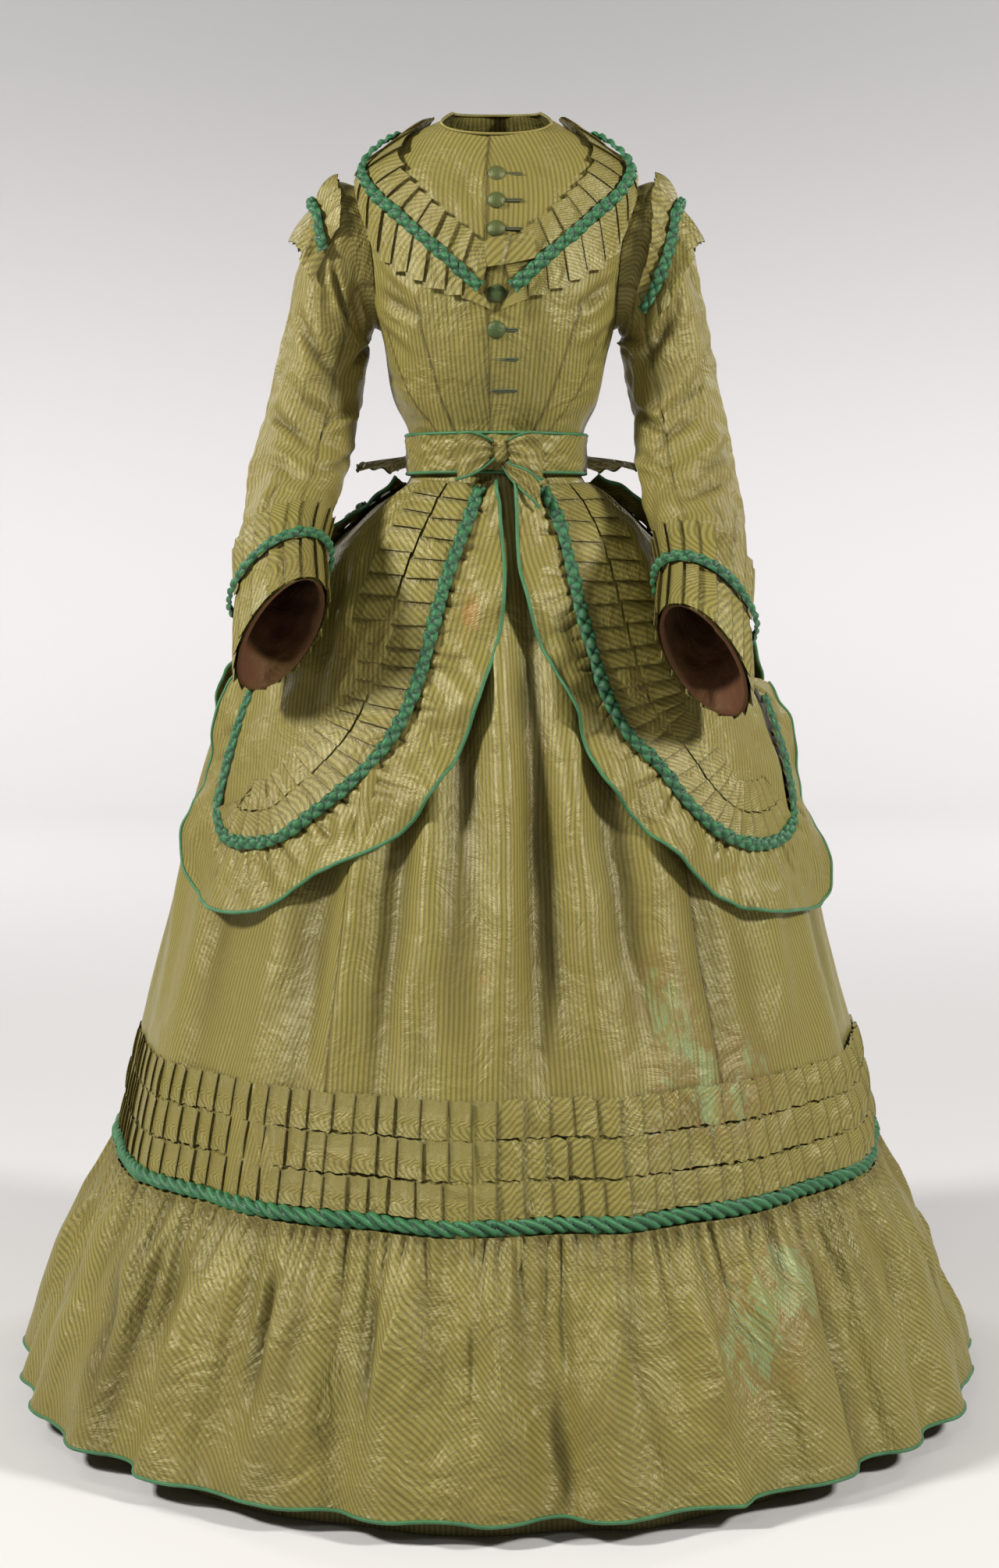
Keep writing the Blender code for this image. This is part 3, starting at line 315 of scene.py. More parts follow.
STRIPE_PITCH = 0.0054
RIB_PITCH = 2 * math.pi / 5200
SILK_LIGHT = (0.265, 0.226, 0.060, 1.0)
SILK_STRIPE = (0.120, 0.102, 0.027, 1.0)
SILK_WORN = (0.175, 0.132, 0.034, 1.0)
# The dark colour that painted shade and the dark seam lines mix the silk towards
SILK_SHADE_AND_SEAMS = (0.050, 0.035, 0.011, 1.0)
TIDE_EDGE = (0.200, 0.105, 0.025, 1.0)
RUST = (0.300, 0.120, 0.022, 1.0)
FADED_TEAL = (0.235, 0.400, 0.210, 1.0)
# Rust spots and faded patches on the silk: the middle and the half size of each
RUST_SPOTS = (
    ((-0.030, -0.190, -0.460), (0.026, 0.050, 0.075)), ((-0.014, -0.300, -0.860), (0.013, 0.050, 0.016)),
    ((-0.120, -0.330, -0.950), (0.020, 0.060, 0.045)), ((0.050, -0.310, -0.850), (0.010, 0.050, 0.012)),
    ((0.135, -0.330, -0.935), (0.010, 0.050, 0.013)), ((-0.210, -0.330, -0.940), (0.016, 0.060, 0.020)),
)
TEAL_PATCHES = (
    ((0.190, -0.300, -0.900), (0.085, 0.150, 0.200)), ((0.265, -0.330, -1.230), (0.100, 0.170, 0.120)),
    ((0.270, -0.280, -0.980), (0.080, 0.140, 0.100)), ((0.330, -0.300, -1.170), (0.070, 0.150, 0.060)),
)


def marked(start, where, spots, ragged):
    """How far inside the nearest of some ragged spots each point lies."""
    inside = 0.0
    for centre, size in spots:
        away = start.node("ShaderNodeVectorMath", {"operation": "SUBTRACT"}, {0: where, 1: centre})
        away = start.node("ShaderNodeVectorMath", {"operation": "DIVIDE"}, {0: away, 1: size})
        away = start.node("ShaderNodeVectorMath", {"operation": "LENGTH"}, {0: away}, "Value")
        inside = inside + (1.0 - away).clipped()
    return (inside * 1.2 + ragged * 2.6 - 1.75).ramped(0.0, 0.50)


def new_finish(name):
    """A new finish, the start of its nodes, where each point lies, and the threads and shade of the cloth."""
    finish = bpy.data.materials.new(name)
    finish.use_nodes = True
    start = Tone(finish.node_tree)
    where = start.node("ShaderNodeTexCoord", {}, {}, "Object")
    threads = start.node("ShaderNodeAttribute", {"attribute_name": "threads"}, {}, "Vector")
    shade = start.node("ShaderNodeSeparateXYZ", {}, {0: threads}, "Z")
    return finish, start, where, threads, shade


def set_shader(finish, constants, values):
    shader = finish.node_tree.nodes["Principled BSDF"]
    for key, constant in constants.items():
        shader.inputs[key].default_value = constant
    for key, value in values.items():
        finish.node_tree.links.new(value.socket, shader.inputs[key])


def silk_finish(name, light=SILK_LIGHT, stripe=SILK_STRIPE, pitch=STRIPE_PITCH, stained=False, crumple=1.0):
    """Changeable taffeta: fine dark stripes on olive gold, a crisp low sheen, soft creases, wear and stains,
    with painted shade and dark seam lines.
    """
    finish, start, where, threads, shade = new_finish(name)
    across = start.node("ShaderNodeSeparateXYZ", {}, {0: threads}, "X")
    line = start.sum("SINE", across * (2 * math.pi / pitch))
    # The threads are uneven, so a stripe thickens and thins along its run
    slub = start.noise(start.stretched(threads, (900.0, 14.0, 1.0)), 1.0, 2.0)
    line = (line * 0.5 + 0.62 + (slub - 0.5) * 0.7).ramped(0.30, 1.05)
    broad = start.noise(where, 5.0, 4.0)
    fine = start.noise(where, 38.0, 3.0)
    colour = (line * 0.78).mixed(light, stripe)
    worn = (broad.ramped(0.40, 0.72) * 0.35 + fine.ramped(0.45, 0.8) * 0.12).clipped()
    colour = worn.mixed(colour, SILK_WORN)
    if stained:
        ragged = start.noise(start.stretched(where, (1.0, 1.0, 0.5)), 30.0, 5.0, 0.7)
        streaks = start.noise(start.stretched(threads, (260.0, 11.0, 1.0)), 1.0, 3.0).ramped(0.42, 0.60)
        tide = marked(start, where, TEAL_PATCHES, ragged)
        colour = (tide * 0.42 * (0.15 + streaks * 0.85)).mixed(colour, FADED_TEAL)
        edge = (tide * (1.0 - tide) * 4.0).clipped()
        colour = (edge * 0.50).mixed(colour, TIDE_EDGE)
        colour = (marked(start, where, RUST_SPOTS, ragged) * 0.55).mixed(colour, RUST)
    # Painted shade: the cloth's shade values darken it in hollows, under folds, edges and ruches, and along
    # the dark seam lines
    colour = (shade * 0.85).clipped().mixed(colour, SILK_SHADE_AND_SEAMS)
    # Broad handling creases, fine crackle, the stripes' own rib and the weave
    rough = 0.33 + fine * 0.16 + line * 0.05
    crease = start.noise(where, 16.0, 5.0, 0.6, 0.8)
    crackle = start.noise(start.stretched(where, (1.0, 1.0, 0.6)), 55.0, 3.0, 0.5, 1.2)
    along = start.node("ShaderNodeSeparateXYZ", {}, {0: threads}, "Y")
    weave = start.sum("SINE", along * (2 * math.pi / RIB_PITCH))
    height = crease * 0.013 * crumple + crackle * 0.0016 * crumple + line * 0.00010 + weave * 0.00004
    bump = start.node("ShaderNodeBump", {}, {"Height": height, "Strength": 0.75, "Distance": 1.0}, "Normal")
    set_shader(finish, {
        "Sheen Weight": 0.07, "Sheen Roughness": 0.35, "Sheen Tint": (0.90, 0.80, 0.40, 1.0),
        "Specular IOR Level": 0.50, "Specular Tint": (1.0, 0.93, 0.62, 1.0),
    }, {"Base Color": colour, "Roughness": rough, "Normal": bump})
    return finish


skirt_silk = silk_finish("skirt_silk", stained=True, crumple=0.6)
SKIRT_HEIGHTS = np.concatenate([
    np.linspace(WAIST, 0.9, 24), np.linspace(0.89, 0.30, 74), np.linspace(0.28, 0.0, 22),
])
# Long soft folds of the skirt: both ends as metres round from centre front and height, then width and depth
LONG_FOLDS = (
    (-0.03, 0.96, -0.046, 0.5, 0.016, -0.013), (-0.085, 0.86, -0.13, 0.45, 0.02, -0.012),
    (0.034, 0.98, 0.052, 0.46, 0.017, -0.014), (0.1, 0.9, 0.15, 0.52, 0.022, -0.013),
    (0.002, 0.9, 0.004, 0.43, 0.014, 0.008), (-0.18, 0.8, -0.235, 0.44, 0.024, -0.009),
    (-0.13, 0.76, -0.18, 0.43, 0.018, 0.008), (0.19, 0.82, 0.26, 0.44, 0.024, -0.009),
    (0.08, 0.76, 0.104, 0.44, 0.014, 0.007), (-0.31, 0.78, -0.38, 0.44, 0.026, -0.008),
    (0.3, 0.78, 0.37, 0.44, 0.026, 0.008), (-0.44, 0.8, -0.52, 0.44, 0.028, 0.008),
    (0.43, 0.8, 0.52, 0.44, 0.028, -0.008), (-0.07, 0.56, -0.08, 0.44, 0.012, -0.005),
)
for word, first, last, flat, area in SKIRT_BREADTHS:
    angle, height = np.meshgrid(columns(first, last, 0.6, (0.12, 0.3)), SKIRT_HEIGHTS)
    round_from_front = np.radians(wrapped(angle)) * read(SKIRT_SECTIONS, height)[..., 1]
    girth = np.radians(1) * read(SKIRT_SECTIONS, height)[..., 1]
    seam = np.minimum(angle - first, last - angle) * girth
    plain = skirt(angle, height)
    out = 0.0016 * ripples(plain, 3, 0.16, 3.0) * smooth((0.95 - height) / 0.2)
    out = out + 0.0007 * ripples(plain, 4, 0.045, 2.0) - 0.0014 * hump(seam, 0.0022)
    folds = crease_field(round_from_front, height, LONG_FOLDS)
    points = skirt(angle, height, out + folds)
    across = lengths(points, 1)
    across = across - across[:, across.shape[1] // 2, None]
    threads = np.stack([across, lengths(points, 0)], -1)
    # Dark seam lines, painted shade low on the skirt under the flounce, and painted shade in the folds'
    # hollows
    shade = 0.9 * hump(seam, 0.0011) + 0.35 * smooth((0.06 - height) / 0.06)
    shade = np.clip(shade + hollow(folds, 0.011), 0, 1)
    breadth = add_cloth(word, points, threads, skirt_silk, shade=shade)

# Three bands of the same silk cut on the bias, laid round the skirt in knife pleats and stitched down along
# both edges, one above the other over the hem ruche.
BAND_ROWS = (("skirt_pleats_1", 0.4200, 0.3815, 5), ("skirt_pleats_2", 0.3795, 0.3410, 6),
             ("skirt_pleats_3", 0.3385, 0.3035, 7))
BAND_PLEATS = 104
# One knife pleat: how far along it runs and how high it stands, both as shares
PLEAT_PROFILE = np.array((
    (0.02, 0.1), (0.25, 0.2), (0.5, 0.36), (0.72, 0.56), (0.9, 0.82), (0.985, 1.0), (1.0, 0.92),
    (0.97, 0.66), (0.86, 0.46), (0.8, 0.34), (0.9, 0.2),
))
BIAS = 45.0


def turned(threads, degrees):
    """The stripes' own directions turned on the cloth, as when it is cut on the bias."""
    cosine, sine = math.cos(math.radians(degrees)), math.sin(math.radians(degrees))
    across, along = threads[..., 0], threads[..., 1]
    return np.stack([across * cosine + along * sine, along * cosine - across * sine], -1)


def knife_pleats(place, marks, gap, fold, rows, seed, wide, open_at=None, slope=BIAS, tilt=0.05):
    """Points, threads and shade of a strip in knife pleats between marks, laid by place(along, across, out).

    Each pleat stands up by its own amount, most in the middle of the strip where no stitch holds it."""
    random = np.random.default_rng(seed)
    across = np.linspace(0, 1, rows)
    along, out, dark, drop = [], [], [], []
    for start, end in zip(marks, marks[1:]):
        own = fold * random.uniform(0.55, 1.25) * (open_at(0.5 * (start + end)) if open_at else 1.0)
        lean, bow = random.uniform(-1, 1), random.uniform(0.3, 1.0)
        step = tilt * random.uniform(0.5, 1.3) * math.copysign(1, end - start)
        held = 0.62 + 0.38 * np.sin(math.pi * across) * bow + 0.16 * lean * (across - 0.5)
        for share, rise in PLEAT_PROFILE:
            slant = 0.05 * lean * (across - 0.5) * (end - start)
            along.append(start + share * (end - start) + slant * share)
            out.append(gap + own * held * rise)
            # Painted shadow under the fold's edge and where the next pleat comes out from below it
            under = 0.75 * smooth((share - 0.93) / 0.06) if share < 0.99 else 0.9 - 0.3 * rise
            dark.append(np.full(rows, under + 0.75 * math.exp(-share / 0.09)))
            drop.append(across + step * (share - 0.5))
    along, out, dark, drop = (np.array(x).T for x in (along, out, dark, drop))
    points = place(along, drop, out)
    flat = np.stack([lengths(points, 1), np.broadcast_to(across[:, None] * wide, out.shape)], -1)
    return points, turned(flat, slope), dark * 0.85


def uneven(start, end, count, seed, jitter=0.16):
    """Marks from start to end in steps that differ a little."""
    steps = 1 + jitter * np.random.default_rng(seed).uniform(-1, 1, count)
    marks = np.concatenate([[0], np.cumsum(steps)])
    return start + (end - start) * marks / marks[-1]


band_silk = silk_finish("bias_silk", stained=True)
for word, top, bottom, seed in BAND_ROWS:
    def on_band(along, across, out):
        edge = 0.0012 * np.sin(along * 3.1) + 0.0008 * np.sin(along * 7.7 + seed)
        return skirt(along, top + across * (bottom - top) + edge, out)

    def opened(along):
        # The pleats stand open at the wearer's left and lie flatter in front and at the right
        return 0.75 + 0.75 * smooth((along - 20) / 40) * smooth((120 - along) / 40)

    marks = uneven(0, 360, BAND_PLEATS, seed)
    points, threads, shade = knife_pleats(on_band, marks, gap=0.0018, fold=0.0062, rows=7, seed=seed,
                                          wide=top - bottom, open_at=opened)
    band = add_cloth(word, points, threads, band_silk, closed=True, shade=shade)

# The ruches: a green satin ribbon drawn up into even puffs and sewn down its middle. The first runs round
# the skirt over the head of the flounce, twisted like a rope.
SATIN_LIGHT = (0.040, 0.205, 0.068, 1.0)
SATIN_DEEP = (0.009, 0.078, 0.027, 1.0)
SATIN_FADED = (0.080, 0.260, 0.120, 1.0)
SATIN_SHADOW = (0.002, 0.018, 0.009, 1.0)
PUFF = 0.0165


def even_line(points, normals, step, closed=False):
    """A line laid on cloth again in even steps, with the way out of the cloth at each."""
    if closed:
        points = np.concatenate([points, points[:1]])
        normals = np.concatenate([normals, normals[:1]])
    far = np.concatenate([[0], np.cumsum(np.linalg.norm(np.diff(points, axis=0), axis=1))])
    at = np.linspace(0, far[-1], max(2, round(far[-1] / step) + 1))
    at = at[:-1] if closed else at
    return (
        np.stack([np.interp(at, far, points[:, k]) for k in range(3)], -1),
        unit(np.stack([np.interp(at, far, normals[:, k]) for k in range(3)], -1)),
        at, far[-1],
    )


def sides_of(points, normals, closed=False):
    """The direction across a line at each of its points."""
    along = np.roll(points, -1, 0) - np.roll(points, 1, 0) if closed else np.gradient(points, axis=0)
    return unit(np.cross(normals, along))


def add_ruche(name, points, normals, half_width, rise, seed, puff=PUFF, twist=0.5, closed=False,
              crossed=True):
    """Puffs of gathered ribbon along a line. twist slants them, and a crossed slant ends each in an X."""
    points, normals, at, whole = even_line(points, normals, puff / 11, closed)
    sides = sides_of(points, normals, closed)
    across = np.sin(np.linspace(-math.pi / 2, math.pi / 2, 13))[:, None]
    random = np.random.default_rng(seed)
    turns = at * round(whole / puff) / whole
    puffs = np.arange(int(turns[-1]) + 3)
    wander = np.interp(turns, puffs, random.uniform(-0.12, 0.12, len(puffs)))
    size = np.interp(turns, puffs, random.uniform(0.85, 1.12, len(puffs)))
    phase = math.pi * (turns[None, :] + wander + twist * across)
    lobe = np.abs(np.sin(phase)) ** 0.55
    if crossed:
        other = math.pi * (turns[None, :] + wander - twist * across)
        lobe = (np.abs(np.sin(phase)) * np.abs(np.sin(other))) ** 0.42
    crimp = np.cos(2 * phase + 2.5 * across) * 0.5 + 0.5
    wide = half_width * (0.80 + 0.24 * np.abs(np.sin(phase)) ** 0.8) * size
    dome = np.sqrt(1 - across**2 * 0.97)
    out = 0.0004 + rise * size * dome * (0.26 + 0.74 * lobe) + 0.0007 * crimp * lobe
    rows = points + sides * (across * wide)[..., None] + normals * out[..., None]
    threads = np.stack([np.broadcast_to(across * half_width * 1.5, lobe.shape),
                        np.broadcast_to(at[None, :] * 1.8, lobe.shape)], -1)
    # Painted shadow in the hollows between the puffs
    shade = np.clip(1.1 * (1 - lobe), 0, 1)
    piece = add_cloth(name, rows, threads, green_satin, closed=closed, shade=shade)
    whole * 1.5


def satin_finish(name, light=SATIN_LIGHT, deep=SATIN_DEEP, rough=0.30):
    """Silk satin: deep green with painted shadow in the gathers, and silvery green where it turns to the
    light.
    """
    finish, start, where, threads, shade = new_finish(name)
    cloudy = start.noise(where, 55.0, 3.0)
    faded = start.noise(where, 4.0, 2.0)
    gather = start.noise(start.stretched(threads, (120.0, 900.0, 1.0)), 1.0, 3.0, 0.6, 0.6)
    colour = (cloudy.ramped(0.3, 0.75) * 0.55 + gather * 0.25).clipped().mixed(light, deep)
    colour = (faded.ramped(0.45, 0.7) * 0.25).mixed(colour, SATIN_FADED)
    colour = (shade * 0.95).clipped().mixed(colour, SATIN_SHADOW)
    height = gather * 0.0012 + cloudy * 0.0010
    bump = start.node("ShaderNodeBump", {}, {"Height": height, "Strength": 0.6, "Distance": 1.0}, "Normal")
    set_shader(
        finish, {"Sheen Weight": 0.10, "Sheen Roughness": 0.30, "Sheen Tint": (0.55, 0.95, 0.65, 1.0)},
        {"Base Color": colour, "Roughness": rough + cloudy * 0.12, "Normal": bump},
    )
    return finish


green_satin = satin_finish("green_satin")
HEM_RUCHE = 0.2950
turn = np.arange(0, 360, 0.5)
face = skirt(turn, HEM_RUCHE)
way = unit(skirt(turn, HEM_RUCHE, 0.01) - face)
add_ruche("skirt_ruche", face, way, half_width=0.0085, rise=0.0100, seed=11, twist=0.75, closed=True,
          crossed=False)

# The flounce: a deep strip of the silk on the bias, gathered into the skirt under the ruche and left to
# stand out in broad crisp folds. Its edge is piped in green and clears the floor.
FLOUNCE_TOP, FLOUNCE_HEM = 0.2870, 0.0270
FLOUNCE_FLUTES = 28
FLOUNCE_SHAPE = np.array((
    # height, stand, wave
    (0.287, 0.0055, 0.0), (0.255, 0.012, 0.003), (0.22, 0.02, 0.007), (0.12, 0.0305, 0.009),
    (0.027, 0.04, 0.0075),
))
GATHERS = 210
FACETS = 64


def flounce_face(angle, height):
    """Points of the flounce, and how much painted shade each gets in the hollows of its gathers and folds."""
    turn = np.radians(angle)
    shape = read(FLOUNCE_SHAPE, height)
    phase = FLOUNCE_FLUTES * turn + 0.5 * np.sin(5 * turn)
    # Broad flutes, some deeper than others, with crests a little flatter than a plain wave's
    swell = 1 + 0.3 * np.sin(7 * turn + 1)
    fold = np.cos(phase)
    fold = np.sign(fold) * np.abs(fold) ** 0.8
    out = shape[..., 1] * (1 + 0.4 * np.abs(np.sin(turn))) + shape[..., 2] * swell * fold
    plain = out
    # Fine gathers start under the ruche and fade at their own heights
    random = np.random.default_rng(21)
    low = (FLOUNCE_TOP - height) / (FLOUNCE_TOP - FLOUNCE_HEM)
    for at in range(GATHERS):
        place = (at + random.uniform(-0.4, 0.4)) * 360 / GATHERS
        length, depth = random.uniform(0.12, 0.70), random.uniform(0.0030, 0.0095)
        drift, spread = random.uniform(-3.2, 3.2), random.uniform(0.35, 0.7)
        away = wrapped(angle - place - drift * low)
        fade = np.clip(1 - low / length, 0, 1) ** 0.8 * smooth((low + 0.02) / 0.05)
        out = out - depth * fade * hump(away, spread * (1 + 2.2 * low))
    # Crisp ridges and troughs run down from the gathers, each at its own slant
    for at in range(FACETS):
        place = (at + random.uniform(-0.45, 0.45)) * 360 / FACETS
        first, last = random.uniform(0.02, 0.30), random.uniform(0.55, 1.25)
        depth, drift = random.uniform(-0.018, 0.018), random.uniform(-5.0, 5.0)
        spread = random.uniform(1.6, 3.8)
        away = np.abs(wrapped(angle - place - drift * low)) / (spread * (0.35 + 0.9 * low))
        runs = smooth((low - first) / 0.25) * smooth((last - low) / 0.35)
        out = out + depth * runs * np.clip(1 - away, 0, 1) ** 1.25
    sunk = hollow(out - plain, 0.0095)
    base = skirt_face(angle, height)
    flat = skirt(angle, height, 1.0) - base
    flat[..., 2] = 0
    points = base + unit(flat) * np.asarray(out)[..., None]
    soft = 0.0016 * ripples(points, 22, 0.07, 1.4) * smooth((FLOUNCE_TOP - height) / 0.08)
    return points + unit(flat) * soft[..., None], sunk


flounce_silk = silk_finish("flounce_silk", stained=True, crumple=1.3)
FLOUNCE_HEIGHTS = np.concatenate([np.linspace(FLOUNCE_TOP, 0.24, 16), np.linspace(0.235, FLOUNCE_HEM, 30)])
angle, height = np.meshgrid(np.arange(0, 360, 0.27), FLOUNCE_HEIGHTS)
points, sunk = flounce_face(angle, height)
threads = turned(np.stack([np.radians(angle) * 0.60, FLOUNCE_TOP - height], -1), -BIAS)
# Painted shade under the ruche at the top and in the gathers' hollows, and darker towards the hem
shade = np.clip(0.35 * smooth((height - 0.262) / 0.024) + 0.12 * smooth((0.06 - height) / 0.03) + sunk, 0, 1)
flounce = add_cloth("flounce", points, threads, flounce_silk, closed=True, shade=shade)


# The piping: a thin cord covered in green silk, caught into the edges of the flounce, overskirt and belt.
def add_piping(name, points, ways, radius, replaces=None, closed=False, finish=None, sides=7):
    """A covered cord along a line. ways point out of the cloth beside it."""
    across = sides_of(points, ways, closed)
    turns = 2 * math.pi * np.arange(sides) / sides
    rows = np.stack([points + radius * (math.cos(t) * across + math.sin(t) * ways) for t in turns], 1)
    far = lengths(points[None], 1)[0]
    threads = np.stack([np.broadcast_to(turns * radius, rows.shape[:2]),
                        np.broadcast_to(far[:, None], rows.shape[:2])], -1)
    if closed:
        rows = np.concatenate([rows, rows[:1]])
        threads = np.concatenate([threads, threads[:1]])
    return add_cloth(name, rows, threads, finish or piping_satin, replaces, closed=True)


piping_satin = satin_finish("piping_satin", (0.050, 0.185, 0.066, 1.0), (0.020, 0.095, 0.035, 1.0), 0.42)
turn = np.arange(0, 360, 0.5)
edge, _ = flounce_face(turn, FLOUNCE_HEM)
way = unit(edge * np.array((1.0, 1.0, 0.0)) - np.array((0.0, 0.1, 0.0)))
add_piping("flounce_piping", edge - np.array((0, 0, 0.0012)), way, 0.0021, closed=True)

# The overskirt: an open apron in two rounded tails with a third piece behind. Each falls from the waist in
# its own soft folds, with a gathered border piped in green and a ruche along the border's seam.
OVERSKIRT_TOP = 1.0540
TAIL_CORNER = 12
BAND_WIDTH = 0.032
TAIL_RIGHT = np.array((
    # station, ruche angle, ruche height, edge angle, edge height
    (0, 8, 1.054, 1, 1.054), (1, 10, 1.02, -1, 1.015), (2, 13, 0.965, -2, 0.96), (3, 14.5, 0.91, -1, 0.905),
    (4, 15.5, 0.86, 2, 0.85), (5, 17.5, 0.812, 5, 0.798), (6, 21, 0.772, 9, 0.745),
    (7, 27, 0.732, 14, 0.698), (8, 33, 0.702, 22, 0.664), (9, 39.5, 0.674, 32, 0.634),
    (10, 47, 0.664, 43, 0.594), (11, 54.5, 0.668, 56, 0.594), (12, 59, 0.694, 67, 0.625),
    (13, 60, 0.74, 70, 0.695), (14, 60.5, 0.795, 71, 0.77), (15, 61, 0.85, 71.5, 0.845),
))
TAIL_LEFT = np.array((
    (0, 24, 1.054, 10, 1.054), (1, 24, 1.015, 8, 1.01), (2, 22, 0.965, 7, 0.955), (3, 21, 0.915, 9, 0.902),
    (4, 21.5, 0.868, 12.5, 0.852), (5, 22.5, 0.825, 16, 0.8), (6, 25.5, 0.785, 18, 0.755),
    (7, 31, 0.75, 22, 0.718), (8, 35.5, 0.712, 28, 0.676), (9, 41.5, 0.679, 34.5, 0.636),
    (10, 49, 0.662, 44.5, 0.597), (11, 58, 0.662, 58, 0.585), (12, 66, 0.68, 75, 0.586),
    (13, 70, 0.722, 82, 0.66), (14, 72, 0.78, 84, 0.74), (15, 73, 0.84, 85, 0.825),
))
TAIL_BACK = np.array((
    (0, 100, 1.054, 89, 1.054), (1, 99, 0.995, 89, 0.995), (2, 98, 0.935, 88, 0.925),
    (3, 101, 0.875, 88, 0.85), (4, 108, 0.825, 97, 0.79), (5, 119, 0.765, 109, 0.72),
    (6, 133, 0.712, 126, 0.658), (7, 149, 0.682, 145, 0.624), (8, 165, 0.666, 163, 0.606),
    (9, 180, 0.66, 180, 0.6),
))
# The wearer's right half of the back mirrors the left
mirrored = TAIL_BACK[-2::-1] * np.array((-1, -1, 1, -1, 1)) + np.array((18, 360, 0, 360, 0))
TAIL_BACK = np.concatenate([TAIL_BACK, mirrored])


def grid_out(points, out):
    """A grid of points with each moved out square to the cloth."""
    across = np.cross(np.gradient(points, axis=0), np.gradient(points, axis=1))
    return points + unit(across) * np.asarray(out)[..., None]


def inside_edge(tail, at, distance, side):
    """The angle and height at a distance inside the ruche of a trimmed edge."""
    here, before, after = read(tail, at), read(tail, at - 0.4), read(tail, at + 0.4)
    angle, height = here[..., 1], here[..., 2]
    flat = round_body(read(SKIRT_SECTIONS, height), angle)
    radius = np.hypot(flat[..., 0], flat[..., 1]) * math.radians(1)
    along = unit(np.stack([(after[..., 1] - before[..., 1]) * radius, after[..., 2] - before[..., 2]], -1))
    height = np.minimum(OVERSKIRT_TOP, height + along[..., 0] * distance)
    return side * (angle - along[..., 1] * distance / radius), height


def even_stations(table, first, last, count, seed, cloth=skirt):
    """Places along a trimmed edge in nearly even steps of its length."""
    at = np.linspace(first, last, 400)
    here = read(table, at)
    line = cloth(here[:, 1], here[:, 2])
    far = np.concatenate([[0], np.cumsum(np.linalg.norm(np.diff(line, axis=0), axis=1))])
    return np.interp(uneven(0, far[-1], count, seed), far, at)


def silk_at(angle, height):
    """Where a point of a tail lies on its cloth, with the stripes upright."""
    return np.stack([np.radians(angle) * read(SKIRT_SECTIONS, height)[..., 1] * 0.97, 1.2 - height], -1)


overskirt_silk = silk_finish("overskirt_silk", stained=True, crumple=0.9)
# Soft creases of the tails, as across and down the cloth in metres, with width and depth
TAIL_CREASES = {
    "front_right": (
        (-0.06, 0.2, -0.14, 0.36, 0.008, 0.0035), (-0.12, 0.28, -0.18, 0.4, 0.01, 0.003),
        (-0.1, 0.42, -0.17, 0.5, 0.007, -0.003), (-0.045, 0.17, -0.06, 0.26, 0.005, 0.0025),
        (-0.18, 0.22, -0.2, 0.4, 0.012, -0.004), (-0.03, 0.16, -0.03, 0.21, 0.004, 0.002),
    ),
    "front_left": (
        (0.1, 0.3, 0.17, 0.42, 0.009, 0.004), (0.13, 0.46, 0.19, 0.41, 0.006, -0.003),
        (0.16, 0.36, 0.23, 0.5, 0.01, 0.0035), (0.15, 0.2, 0.18, 0.32, 0.01, -0.004),
        (0.07, 0.17, 0.08, 0.23, 0.004, 0.002), (0.19, 0.44, 0.24, 0.49, 0.006, 0.003),
    ),
    "back": tuple(
        (x, 0.17 + 0.05 * (i % 3), x * 1.5, 0.42 + 0.04 * (i % 2), 0.016, 0.0055 * (1, -1)[i % 2])
        for i, x in enumerate(np.linspace(0.56, 1.32, 12))
    ),
}
TAILS = (
    # word, stations, side, spine angles, pleated columns, height of the cloth, panel cut, frill cut
    ("front_right", TAIL_RIGHT, -1, (56, 61), 2, 0.0065, (0.30, 0.46, 0.092), (1.10, 0.072)),
    ("front_left", TAIL_LEFT, 1, (69, 74), 2, 0.0065, (0.31, 0.47, 0.098), (1.12, 0.073)),
    ("back", TAIL_BACK, 1, (104, 256), 0, 0.0080, (1.05, 0.50, 0.420), (1.75, 0.078)),
)
